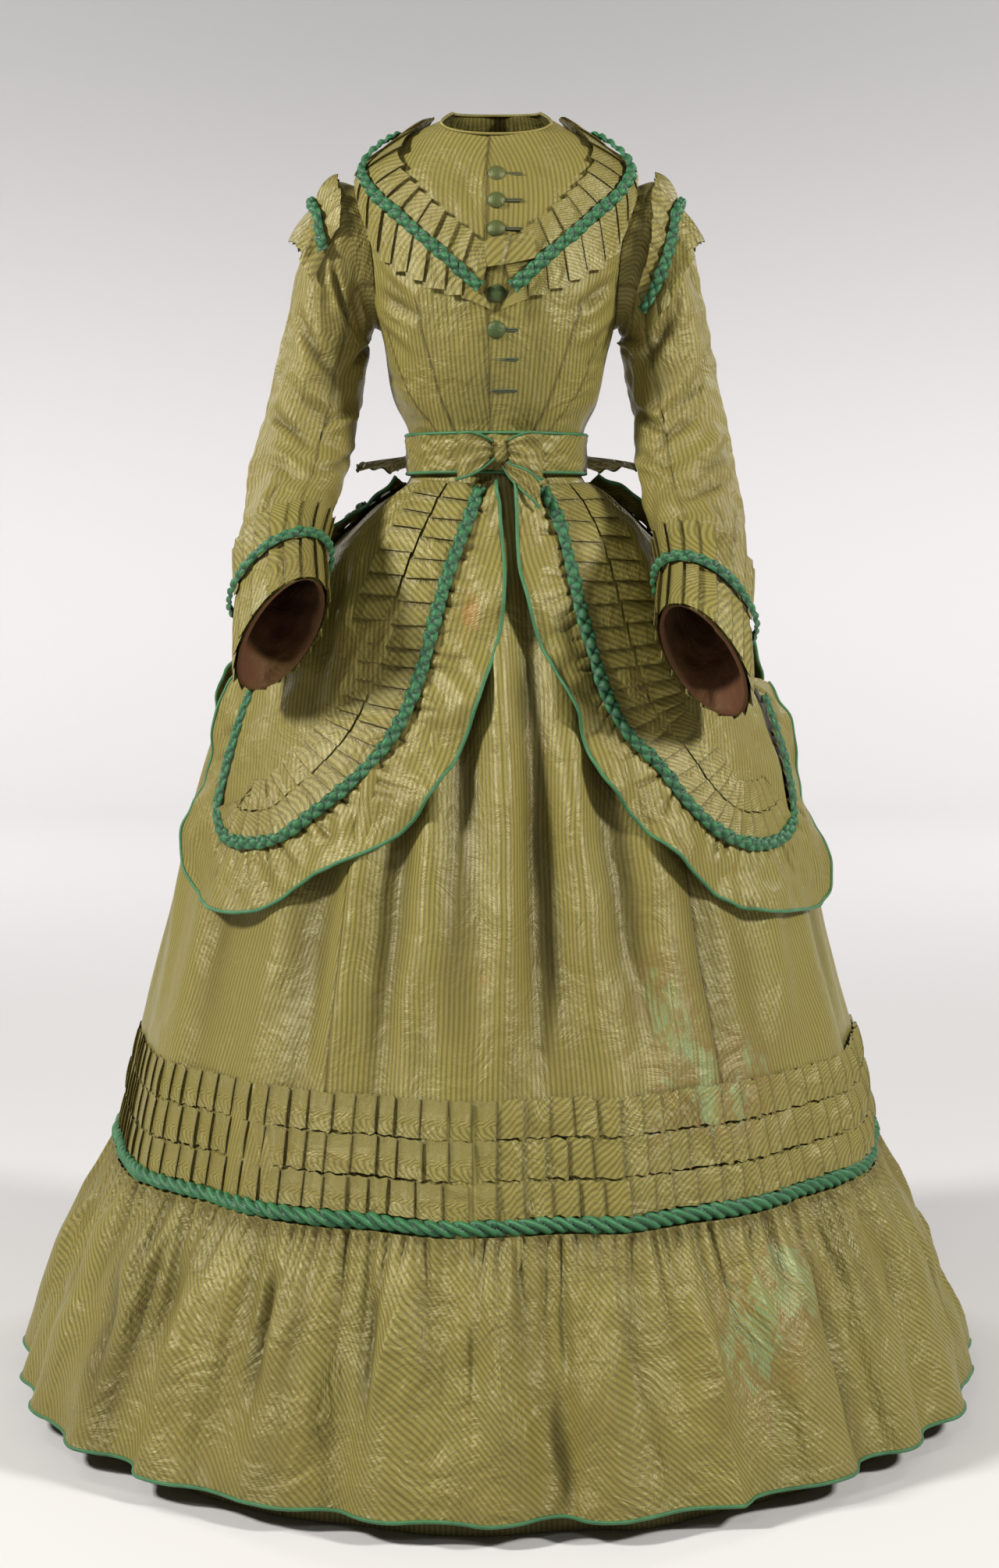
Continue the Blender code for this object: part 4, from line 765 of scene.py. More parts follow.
for word, tail, side, spine, bands, lift, panel_cut, frill_cut in TAILS:
    last = TAIL_CORNER if bands else len(tail) - 1
    at, share = np.meshgrid(np.linspace(0, last, 160 if bands else 260), np.linspace(0, 1, 60))
    angle, height = inside_edge(tail, at, 0.0004, side)
    top = side * (spine[0] + (spine[1] - spine[0]) * at / last)
    angle = top + share * (angle - top)
    height = OVERSKIRT_TOP + share * (height - OVERSKIRT_TOP)
    threads = silk_at(angle, height)
    plain = skirt(angle, height)
    drop = OVERSKIRT_TOP - height
    # The tail stands off the skirt, most in its middle, with broad waves and small gathers below the belt
    full = smooth(drop / 0.10) * (1 - 0.7 * smooth((share - 0.75) / 0.25))
    out = lift + 0.0035 * smooth(drop / 0.2) * np.sin(math.pi * share)
    out = out + 0.0022 * full * ripples(plain, 31, 0.11, 2.5)
    out = out + 0.0008 * ripples(plain, 32, 0.035, 1.6) * smooth(drop / 0.03)
    out = out + 0.0020 * np.exp(-drop / 0.030) * np.sin(np.radians(angle) * 62) * smooth(drop / 0.008)
    folds = full * crease_field(threads[..., 0], threads[..., 1], TAIL_CREASES[word])
    points = skirt(angle, height, np.where(drop < 0.001, 0.0030, out + folds))
    panel = add_cloth(f"overskirt_{word}", points, threads, overskirt_silk, shade=hollow(folds, 0.006),
                      flip=side < 0)

    # The border outside the ruche, gathered into the seam, with a piped edge that lifts and dips
    frill_last = len(tail) - 1
    at, share = np.meshgrid(np.linspace(0, frill_last, 32 * frill_last), np.linspace(0.02, 1, 20))
    here = read(tail, at)
    angle = side * (here[..., 1] + share * (here[..., 3] - here[..., 1]))
    height = here[..., 2] + share * (here[..., 4] - here[..., 2])
    random = np.random.default_rng(41 + bands + side)
    swell = np.interp(at, np.arange(0, frill_last + 1), random.uniform(0.5, 1.5, frill_last + 1))
    out = lift + share * 0.0070 + 0.0062 * swell * share**1.3 * np.sin(math.pi * at)
    plain = out
    for mark in even_stations(tail, 0, frill_last, 46 if bands else 90, 43):
        reach, depth = random.uniform(0.22, 0.85), random.uniform(0.0020, 0.0058)
        away = at - mark - random.uniform(-0.35, 0.35) * share
        fade = np.clip(1 - share / reach, 0, 1) ** 0.8
        out = out - depth * fade * hump(away, 0.030 * (1 + 2.6 * share))
    sunk = hollow(out - plain, 0.004)
    points = skirt(angle, height, out)
    out = 0.0010 * ripples(points, 44, 0.03, 1.0) * smooth(share / 0.15)
    points = grid_out(points, out if side > 0 else -out)
    threads = turned(silk_at(angle, height), -14 * side)
    # Painted shade under the ruche along the seam, and in the gathers' hollows
    shade = np.clip(0.30 * np.exp(-share / 0.07) + sunk, 0, 1)
    if side < 0:
        points, threads, shade = points[:, ::-1], threads[:, ::-1], shade[:, ::-1]
    frill = add_cloth(f"overskirt_frill_{word}", points, threads, overskirt_silk, shade=shade)
    edge = points[-1]
    way = unit(np.cross(np.gradient(edge, axis=0), points[-1] - points[-2]))
    edge = edge + unit(points[-1] - points[-2]) * 0.0012
    add_piping(f"overskirt_piping_{word}", edge, -way if side > 0 else way, 0.0021)

    # The ruche along the seam of the border
    at = np.linspace(0.25 if bands else 0.5, frill_last - (0.4 if bands else 0.5), 700)
    here = read(tail, at)
    line = skirt(side * here[:, 1], here[:, 2], lift + 0.0022)
    way = unit(skirt(side * here[:, 1], here[:, 2], lift + 0.0122) - line)
    add_ruche(f"overskirt_ruche_{word}", line, way, half_width=0.0078, rise=0.0078, seed=51 + bands + side)

    # Two columns of knife pleats on the bias lie inside the ruche of each front tail
    for column in range(bands):
        def on_tail(along, across, out):
            distance = (bands - column - across) * BAND_WIDTH - 0.0022 * (column == bands - 1) + 0.0030
            angle, height = inside_edge(tail, along, distance, side)
            return skirt(angle, height, out + lift + 0.0015)

        marks = even_stations(tail, 0.1, last, 25, 60 + column)
        # The wearer's left tail has been pressed flatter
        flat = 0.65 if side > 0 else 1.0
        points, threads, shade = knife_pleats(on_tail, marks, gap=0.0012, fold=0.0042 * flat, rows=7,
                                              seed=62 + column, wide=BAND_WIDTH, slope=BIAS * side, tilt=0.07)
        name = f"overskirt_pleats_{word}"
        strip = add_cloth(name + ("", "_inner")[column == 0], points, threads, overskirt_silk,
                          replaces=(name,), shade=shade, flip=side < 0)

# The bodice: two fronts and a back of the striped silk, cut close and shaped to the waist by two darts on
# each side. The wearer's left front laps over the right and buttons down the middle. A narrow bound edge
# finishes the neck.
TORSO_SECTIONS = np.array((
    (1.06, 0.096, 0.0945, 0.087, 0.0), (1.0893, 0.096, 0.0945, 0.087, 0.0),
    (1.115, 0.0985, 0.0975, 0.0885, 0.0), (1.145, 0.112, 0.108, 0.094, 0.0),
    (1.18, 0.1205, 0.119, 0.1, 0.0), (1.215, 0.128, 0.127, 0.105, 0.0), (1.25, 0.137, 0.129, 0.111, 0.0),
    (1.295, 0.148, 0.123, 0.116, 0.0), (1.345, 0.158, 0.109, 0.115, 0.0), (1.375, 0.159, 0.097, 0.108, 0.0),
    (1.4, 0.148, 0.086, 0.1, 0.0), (1.425, 0.118, 0.072, 0.087, 0.0), (1.448, 0.081, 0.06, 0.072, 0.0),
    (1.468, 0.045, 0.05, 0.057, 0.0), (1.48, 0.04, 0.046, 0.05, 0.0),
))
TORSO_FULLNESS = 0.92
NECK_FRONT, NECK_SIDE, NECK_BACK = 1.434, 1.466, 1.472
SIDE_SEAM = 99.0
FRONT_LAP = -3.2
ARMHOLE_DEPTH, ARMHOLE_HEIGHT, ARMHOLE_REACH, ARMHOLE_RISE = 0.005, 1.308, 0.062, 0.080


def torso_face(angle, height):
    return round_body(read(TORSO_SECTIONS, height), angle, TORSO_FULLNESS)


def torso(angle, height, out=0.0):
    return moved_out(torso_face, angle, height, out)


def neck_height(angle):
    cosine = np.cos(np.radians(angle))
    front = NECK_SIDE + (NECK_FRONT - NECK_SIDE) * np.clip(cosine, 0, 1) ** 1.6
    return np.where(cosine > 0, front, NECK_SIDE + (NECK_BACK - NECK_SIDE) * np.abs(cosine))


def round_armhole(points):
    """Points inside an armhole moved to its edge, and which they are."""
    depth, height = points[..., 1] - ARMHOLE_DEPTH, points[..., 2] + SHOULDERS - ARMHOLE_HEIGHT
    reach = np.hypot(depth / ARMHOLE_REACH, height / ARMHOLE_RISE)
    inside = (reach < 1) & (np.abs(points[..., 0]) > 0.07)
    grow = np.where(inside, 1 / np.maximum(reach, 1e-6), 1.0)
    y, z = ARMHOLE_DEPTH + depth * grow, ARMHOLE_HEIGHT + height * grow
    section = read(TORSO_SECTIONS, z)
    half = np.where(y < 0, section[..., 2], section[..., 3])
    share = np.clip(np.abs(y) / half, 0, 1)
    power = 2 / TORSO_FULLNESS
    x = np.sign(points[..., 0]) * section[..., 1] * (1 - share**power) ** (1 / power)
    moved = np.stack([x, y, z - SHOULDERS], -1)
    return np.where(inside[..., None], moved, points), inside


DARTS = (
    # the two ends of each dart as angle and height
    (-38, 1.254, -24, 1.1), (-70, 1.239, -36, 1.1), (41, 1.257, 20, 1.1), (62, 1.218, 28, 1.1),
    (150, 1.33, 168, 1.095), (210, 1.33, 192, 1.095), (129, 1.25, 148, 1.095), (231, 1.25, 212, 1.095),
)
# Drag lines under the arms and across the waist: ends as metres round from centre front and height, width,
# depth
BODICE_CREASES = (
    (-0.15, 1.262, -0.09, 1.236, 0.007, -0.0045), (-0.16, 1.24, -0.1, 1.205, 0.006, 0.003),
    (-0.135, 1.29, -0.095, 1.262, 0.006, 0.0035), (-0.17, 1.175, -0.11, 1.165, 0.004, -0.0018),
    (-0.16, 1.15, -0.115, 1.146, 0.003, 0.0015), (-0.12, 1.128, -0.07, 1.122, 0.003, -0.0012),
    (0.09, 1.245, 0.15, 1.275, 0.007, -0.0045), (0.1, 1.212, 0.16, 1.24, 0.006, 0.0032),
    (0.11, 1.185, 0.16, 1.192, 0.004, -0.002), (0.085, 1.15, 0.135, 1.163, 0.0035, 0.0016),
    (0.06, 1.122, 0.105, 1.133, 0.003, -0.0012), (-0.045, 1.116, -0.01, 1.121, 0.0025, -0.0009),
    (0.095, 1.29, 0.125, 1.33, 0.006, 0.003), (-0.04, 1.395, -0.02, 1.35, 0.006, -0.001),
    (0.03, 1.4, 0.06, 1.385, 0.004, -0.0012), (0.045, 1.33, 0.06, 1.31, 0.004, 0.001),
)
bodice_silk = silk_finish("bodice_silk", crumple=0.9)
BODICE_PIECES = (
    ("bodice_front_left", 0.0, SIDE_SEAM, (0.25, 0.42), 0.075),
    ("bodice_back", SIDE_SEAM, 360 - SIDE_SEAM, (0.40, 0.42), 0.123),
    ("bodice_front_right", 360 - SIDE_SEAM, 360.0, (0.25, 0.42), 0.073),
)
for name, first, last, flat, area in BODICE_PIECES:
    # The left front runs a little past the middle, over the right
    lap = FRONT_LAP if name == "bodice_front_left" else 0.0
    angle, share = np.meshgrid(columns(first + lap, last, 0.9, (0.3,)), np.linspace(1, 0, 110))
    height = WAIST + 0.0003 + share * (neck_height(angle) - WAIST - 0.0003)
    half = read(TORSO_SECTIONS, height)[..., 1]
    wide = np.radians(wrapped(angle)) * half
    plain = torso_face(angle, height)
    folds = crease_field(wide, height, BODICE_CREASES)
    out = 0.0009 * ripples(plain, 71, 0.050, 1.3) + 1.2 * folds
    shade = hollow(folds, 0.0045)
    for a0, h0, a1, h1 in DARTS:
        at = np.clip((height - h0) / (h1 - h0), 0, 1)
        bend = 0.16 * np.sin(math.pi * at) * (a1 - a0)
        off = np.radians(wrapped(angle - a0 - (a1 - a0) * at + bend)) * half
        off = np.hypot(off, np.maximum(height - h0, 0))
        line = hump(off, 0.0017) * smooth((h0 - height + 0.004) / 0.012)
        out = out - 0.0017 * line + 0.0009 * hump(off, 0.006)
        shade = shade + 0.95 * line
    seam = np.minimum(np.abs(angle - SIDE_SEAM), np.abs(angle - 360 + SIDE_SEAM)) * np.radians(1) * half
    out = out - 0.0010 * hump(seam, 0.0018)
    shade = shade + 0.9 * hump(seam, 0.0010)
    if name == "bodice_front_left":
        out = out + 0.0014 * smooth((14 - angle) / 10)
        # Painted shadow along the lapped edge of the left front
        shade = shade + 0.95 * hump(angle - lap, 0.9)
    points, gone = round_armhole(grid_out(plain, out))
    across = lengths(points, 1)
    middle = np.argmin(np.abs(angle[0] - {0.0: 20, SIDE_SEAM: 180}.get(first, 340)))
    threads = np.stack([across - across[:, middle, None], lengths(points, 0)], -1)
    piece = add_cloth(name, points, threads, bodice_silk, shade=np.clip(shade, 0, 1), gone=gone)

turn = np.arange(0, 360, 2.0)
edge = torso_face(turn, neck_height(turn))
ways = np.broadcast_to(UP, edge.shape)
add_piping("neck_binding", edge + 0.0006 * UP, ways, 0.0017, closed=True, finish=bodice_silk)

# The V-shaped bertha: two knife-pleated bias bands with a green ruche over their seam, from the point at
# centre front over each shoulder and across the back.
COLLAR = np.array((
    # station, ruche angle and height, inner edge, outer edge
    (0, 5.5, 1.262, 1.0, 1.302, 1.0, 1.238), (1, 11, 1.275, 6, 1.315, 11, 1.251),
    (2, 17, 1.291, 11, 1.328, 19, 1.257), (3, 24, 1.308, 17, 1.341, 28, 1.266),
    (4, 32, 1.327, 23, 1.356, 38, 1.278), (5, 40, 1.346, 29, 1.371, 48, 1.291),
    (6, 49, 1.363, 35, 1.385, 56, 1.31), (7, 58, 1.38, 41, 1.398, 60, 1.336),
    (8, 67, 1.394, 49, 1.414, 65, 1.362), (9, 75, 1.41, 58, 1.43, 73, 1.387),
    (10, 84, 1.426, 70, 1.445, 83, 1.397), (11, 93, 1.434, 84, 1.454, 93, 1.4),
    (12, 102, 1.431, 100, 1.455, 102, 1.395), (13, 111, 1.422, 112, 1.45, 109, 1.38),
    (14, 120, 1.41, 124, 1.442, 116, 1.366), (15, 131, 1.401, 136, 1.436, 126, 1.354),
    (16, 143, 1.395, 147, 1.431, 139, 1.348), (17, 155, 1.391, 158, 1.427, 153, 1.344),
    (18, 167, 1.389, 169, 1.425, 166, 1.342), (19, 179.6, 1.388, 179.6, 1.424, 179.6, 1.341),
))
COLLAR_LAST = 19
bertha_silk = silk_finish("bertha_silk")
for word, side in (("left", 1), ("right", -1)):
    for part, column, seed in (("inner", 3, 81), ("outer", 5, 84)):
        def on_bertha(along, across, out):
            here = read(COLLAR, along)
            share = across if column == 5 else 1 - across
            reach = 0.10 + 0.90 * share
            angle = here[..., 1] + reach * (here[..., column] - here[..., 1])
            height = here[..., 2] + reach * (here[..., column + 1] - here[..., 2])
            free = 0.0030 * share**2 if column == 5 else 0.0018 * share**2
            return torso(side * angle, height, out + free)

        def stands(along):
            # The wearer's right keeps its pleats sharp and the left has been pressed flat
            return 0.80 if side < 0 else 0.35 + 0.40 * smooth((along - 6) / 4)

        # The pleats overlap towards the point, so their edges show from the front
        marks = even_stations(COLLAR, 0, COLLAR_LAST, 18, seed + side, torso)[::-1]
        points, threads, shade = knife_pleats(on_bertha, marks, gap=0.0046, fold=0.0054, rows=8, seed=seed,
                                              wide=0.030, open_at=stands, slope=BIAS * side, tilt=0.16)
        band = add_cloth(f"collar_pleats_{part}_{word}", points, threads, bertha_silk, shade=0.8 * shade,
                         flip=side > 0)

at = np.linspace(0.0, COLLAR_LAST, 500)
here = read(COLLAR, at)
right = torso(-here[:, 1], here[:, 2], 0.0085)
left = torso(here[:, 1], here[:, 2], 0.0085)
line = np.concatenate([left, right[::-1][1:]])
face = np.concatenate([torso_face(here[:, 1], here[:, 2]), torso_face(-here[:, 1], here[:, 2])[::-1][1:]])
add_ruche("collar_ruche", line, unit(line - face), half_width=0.0072, rise=0.0075, seed=87, puff=0.0150)

# At the centre the inner band of the wearer's left has come loose and its end folds over the point of the V
along, across = np.meshgrid(np.linspace(0, 1, 34), np.linspace(0, 1, 20))
angle = -4.0 + 17.0 * along + 1.2 * across
height = 1.309 - 0.026 * across + (0.014 - 0.004 * across) * along + 0.0016 * np.sin(7 * along) * (1 - across)
fold = hump(along - 0.52 + 0.2 * across, 0.06)
out = 0.0102 + 0.0012 * np.sin(5 * along + 2 * across) + 0.0022 * np.exp(-across / 0.3) - 0.0016 * fold
points = torso(angle, height, out)
threads = turned(np.stack([along * 0.036, across * 0.027], -1), BIAS)
# Painted shade in the crease of the fold
flap = add_cloth("bertha_end", points, threads, bertha_silk, replaces=(), shade=0.6 * fold)

# Five domed moulds covered in green silk, sewn on a shank down the wearer's right front, and the worked
# buttonholes of the left front beside them. The two lowest buttons are lost and their holes stand empty.
BUTTONS = (1.3880, 1.3585, 1.3270, 1.2570, 1.2190)
EMPTY_HOLES = (1.1880, 1.1550)
BUTTON_PROFILE = np.array((
    # reach and rise
    (0.02, 0.0062), (0.25, 0.006), (0.5, 0.0053), (0.72, 0.0042), (0.88, 0.0029), (0.97, 0.0018),
    (1.0, 0.0009), (0.97, 0.0001), (0.8, 0.0),
))
BUTTON_RADIUS = 0.0100
button_silk = silk_finish("button_silk", (0.056, 0.094, 0.030, 1.0), (0.030, 0.060, 0.019, 1.0), 0.0016,
                          crumple=0.5)
thread = silk_finish("buttonhole_thread", (0.060, 0.100, 0.065, 1.0), (0.020, 0.045, 0.035, 1.0), 0.0011,
                     crumple=0.2)
for number, height in enumerate(BUTTONS, 1):
    centre, out = torso(0.0, height, 0.0006), unit(torso(0.0, height, 0.01) - torso(0.0, height))
    across = np.array((1.0, 0.0, 0.0))
    up = np.cross(across, out)
    turn = np.radians(np.arange(0, 360, 9))
    pucker = 1 + 0.012 * np.sin(9 * turn + number) + 0.008 * np.sin(17 * turn)
    reach, rise = BUTTON_PROFILE[:, :1] * BUTTON_RADIUS * pucker, BUTTON_PROFILE[:, 1:] + 0 * turn
    points = centre + out * rise[..., None] + reach[..., None] * (
        across * np.cos(turn)[:, None] + up * np.sin(turn)[:, None])
    threads = np.stack([reach * np.cos(turn), reach * np.sin(turn)], -1)
    # Painted shade round the rim, where the button meets the cloth
    shade = 0.5 * smooth((BUTTON_PROFILE[:, :1] - 0.93) / 0.07)
    add_cloth(f"button_{number}", points, threads, button_silk, closed=True, shade=shade)
holes = [(height, 5.6, 0.0075) for height in BUTTONS] + [(height, 4.0, 0.0125) for height in EMPTY_HOLES]
for number, (height, angle, half) in enumerate(holes, 1):
    along, around = np.meshgrid(np.linspace(-1, 1, 25), np.linspace(-1, 1, 13))
    wide = 0.0019 * np.sqrt(np.clip(1 - along**6, 0, 1))
    lip = 0.0009 * np.clip(1 - around**2, 0, 1) ** 0.5 - 0.0007 * hump(around, 0.25) * (np.abs(along) < 0.92)
    places = torso(angle + np.degrees(along * half / 0.118), height + around * wide, 0.0018 + lip)
    stitches = np.stack([along * half, around * wide], -1)
    # Painted shade in the slit
    slit = 0.95 * hump(around, 0.30) * (np.abs(along) < 0.9)
    add_cloth(f"buttonhole_{number}", places, stitches, thread, (), shade=slit)

# The sleeves: a wide upper and a narrow under piece, seamed down the front of the arm and behind the elbow
# and bent there, widening to an open slanted mouth. The wearer's left arm hangs a little straighter and
# lower.
SLEEVE_RINGS = np.array((
    # across, forward, height, half width, tilt, half depth, lean
    (0.164, -0.004, 1.303, 0.078, -70, 0.0625, 0), (0.1795, -0.004, 1.268, 0.063, -53, 0.063, 0),
    (0.189, -0.004, 1.215, 0.049, -18, 0.0632, 0), (0.204, 0.006, 1.144, 0.0512, 0, 0.062, 6),
    (0.2145, 0.028, 1.092, 0.0533, 1, 0.061, 13), (0.2225, 0.064, 1.043, 0.053, 7, 0.062, 19),
    (0.231, 0.104, 1.001, 0.0535, 22, 0.066, 25), (0.232, 0.148, 0.952, 0.0544, 33, 0.071, 30),
    (0.229, 0.187, 0.892, 0.061, 42, 0.076, 36),
))
SLEEVE_COLUMNS = 14
SLEEVE_LAST = 9
LEFT_ARM = (-0.027, -0.010, 0.026)


def sleeve_face(side, column, row):
    """A point of the sleeve. Columns run from the arm's front by the outside, rows from armhole to mouth."""
    column, row = np.broadcast_arrays(np.asarray(column, float), np.asarray(row, float))
    turn = 2 * math.pi * column / SLEEVE_COLUMNS
    depth = ARMHOLE_DEPTH - (ARMHOLE_REACH - 0.0008) * np.cos(turn)
    height = ARMHOLE_HEIGHT + (ARMHOLE_RISE - 0.0008) * np.sin(turn)
    section = read(TORSO_SECTIONS, height)
    share = np.clip(np.abs(depth) / np.where(depth < 0, section[..., 2], section[..., 3]), 0, 1)
    across = section[..., 1] * (1 - share ** (2 / TORSO_FULLNESS)) ** (TORSO_FULLNESS / 2)
    rings = [np.stack([side * (across + 0.0006), depth, height - SHOULDERS], -1)]
    for ring_across, forward, level, half_width, tilt, half_depth, lean in SLEEVE_RINGS:
        drop = smooth((1.24 - level) / 0.35) if side > 0 else 0.0
        down, inward, ahead = (drop * x for x in LEFT_ARM)
        tilt, lean = math.radians(tilt), math.radians(lean)
        outward = np.array((side * math.cos(tilt), 0, -math.sin(tilt)))
        back = np.array((0, math.cos(lean), -math.sin(lean)))
        centre = np.array((side * (ring_across + inward), -forward - ahead, level + down - SHOULDERS))
        fore = half_depth * np.cos(turn)[..., None] * back
        rings.append(centre - fore + half_width * np.sin(turn)[..., None] * outward)
    mix = read(np.column_stack([np.arange(SLEEVE_LAST + 1), np.eye(SLEEVE_LAST + 1)]), row)[..., 1:]
    return sum(mix[..., k, None] * ring for k, ring in enumerate(rings))


def sleeve(side, column, row, out=0.0):
    along = sleeve_face(side, column + 0.06, row) - sleeve_face(side, column - 0.06, row)
    down = sleeve_face(side, column, row + 0.04) - sleeve_face(side, column, row - 0.04)
    return sleeve_face(side, column, row) + side * unit(np.cross(down, along)) * np.asarray(out)[..., None]


def cap_row(column):
    """The row where a sleeve's cap is sewn. It slopes down towards the front of the arm."""
    return 1.27 + 0.30 * np.clip(1.8 - column, 0, 3)


# Creases of the sleeves: both ends as column and row, then width and depth in metres
SLEEVE_CREASES = {
    "left": (
        (0.5, 2.6, -1.6, 3.4, 0.007, -0.0045), (1.6, 3.2, -1.2, 4.2, 0.006, 0.004),
        (0.8, 4.2, -1.4, 4.9, 0.006, -0.004), (2.0, 4.6, -0.6, 5.6, 0.007, 0.004),
        (1.6, 5.6, -0.8, 6.3, 0.006, -0.0035), (3.2, 1.3, 2.6, 3.0, 0.008, -0.0035),
        (1.2, 1.2, 0.4, 2.5, 0.006, 0.0035), (4.2, 2.0, 3.8, 4.6, 0.009, -0.003),
        (2.6, 3.6, 2.9, 6.4, 0.007, 0.0025), (5.6, 1.6, 6.2, 4.2, 0.01, -0.004),
        (7.5, 2.5, 9.5, 4.2, 0.008, -0.004), (10.0, 2.0, 12.5, 3.2, 0.007, 0.004),
        (11.0, 4.0, 13.0, 4.6, 0.006, -0.004), (10.5, 5.0, 12.6, 5.6, 0.006, 0.0035),
        (2.2, 6.2, 1.6, 7.0, 0.005, -0.0025), (12.5, 1.2, 11.6, 2.2, 0.006, -0.0035),
        (0.2, 6.2, 0.6, 7.0, 0.005, 0.0025), (3.8, 5.0, 4.4, 7.0, 0.007, -0.003),
    ),
    "right": (
        (1.4, 1.3, 0.3, 2.8, 0.007, 0.004), (0.2, 1.6, -1.2, 2.3, 0.006, -0.004),
        (1.8, 2.8, -0.9, 3.6, 0.006, -0.0042), (0.9, 3.6, -1.5, 4.4, 0.006, 0.0038),
        (2.0, 4.2, -0.6, 5.2, 0.006, -0.004), (1.2, 5.2, -0.9, 6.0, 0.006, 0.0035),
        (3.4, 1.5, 3.0, 4.0, 0.009, -0.0035), (2.6, 4.4, 2.2, 6.6, 0.007, 0.0028),
        (4.6, 2.2, 4.2, 5.4, 0.009, 0.003), (6.0, 1.6, 6.6, 4.4, 0.01, -0.004),
        (8.0, 2.7, 9.8, 4.0, 0.008, 0.004), (10.0, 2.2, 12.2, 3.4, 0.007, -0.004),
        (11.2, 4.2, 13.0, 4.9, 0.006, 0.004), (10.4, 5.1, 12.4, 5.8, 0.006, -0.0035),
        (12.6, 1.2, 11.8, 2.0, 0.006, 0.0035), (0.6, 6.1, 1.0, 7.0, 0.005, -0.0028),
        (3.6, 5.4, 3.4, 7.0, 0.006, -0.0026),
    ),
}
COLUMN_STEP, ROW_STEP = 0.026, 0.045
SLEEVE_STEP = np.array((COLUMN_STEP, ROW_STEP, COLUMN_STEP, ROW_STEP, 0.9, 1.5))
SLEEVE_PARTS = (("upper", -1.0, 8.0, (0.34, 0.62), 0.137), ("under", 8.0, 13.0, (0.16, 0.55), 0.064))
SLEEVE_ROWS = np.concatenate([np.linspace(0, 1, 16), np.linspace(1.06, SLEEVE_LAST - 0.02, 118)])
LINING_ROWS = np.concatenate([np.linspace(6.6, 8.9, 26), (8.95, 8.985, 8.985)])
sleeve_silk = silk_finish("sleeve_silk", (0.262, 0.220, 0.062, 1.0), (0.130, 0.108, 0.030, 1.0), crumple=1.1)
lining_cotton = silk_finish("lining_cotton", (0.120, 0.050, 0.028, 1.0), (0.080, 0.034, 0.020, 1.0), 0.0012,
                            crumple=0.8)
set_shader(lining_cotton, {"Specular IOR Level": 0.10}, {})
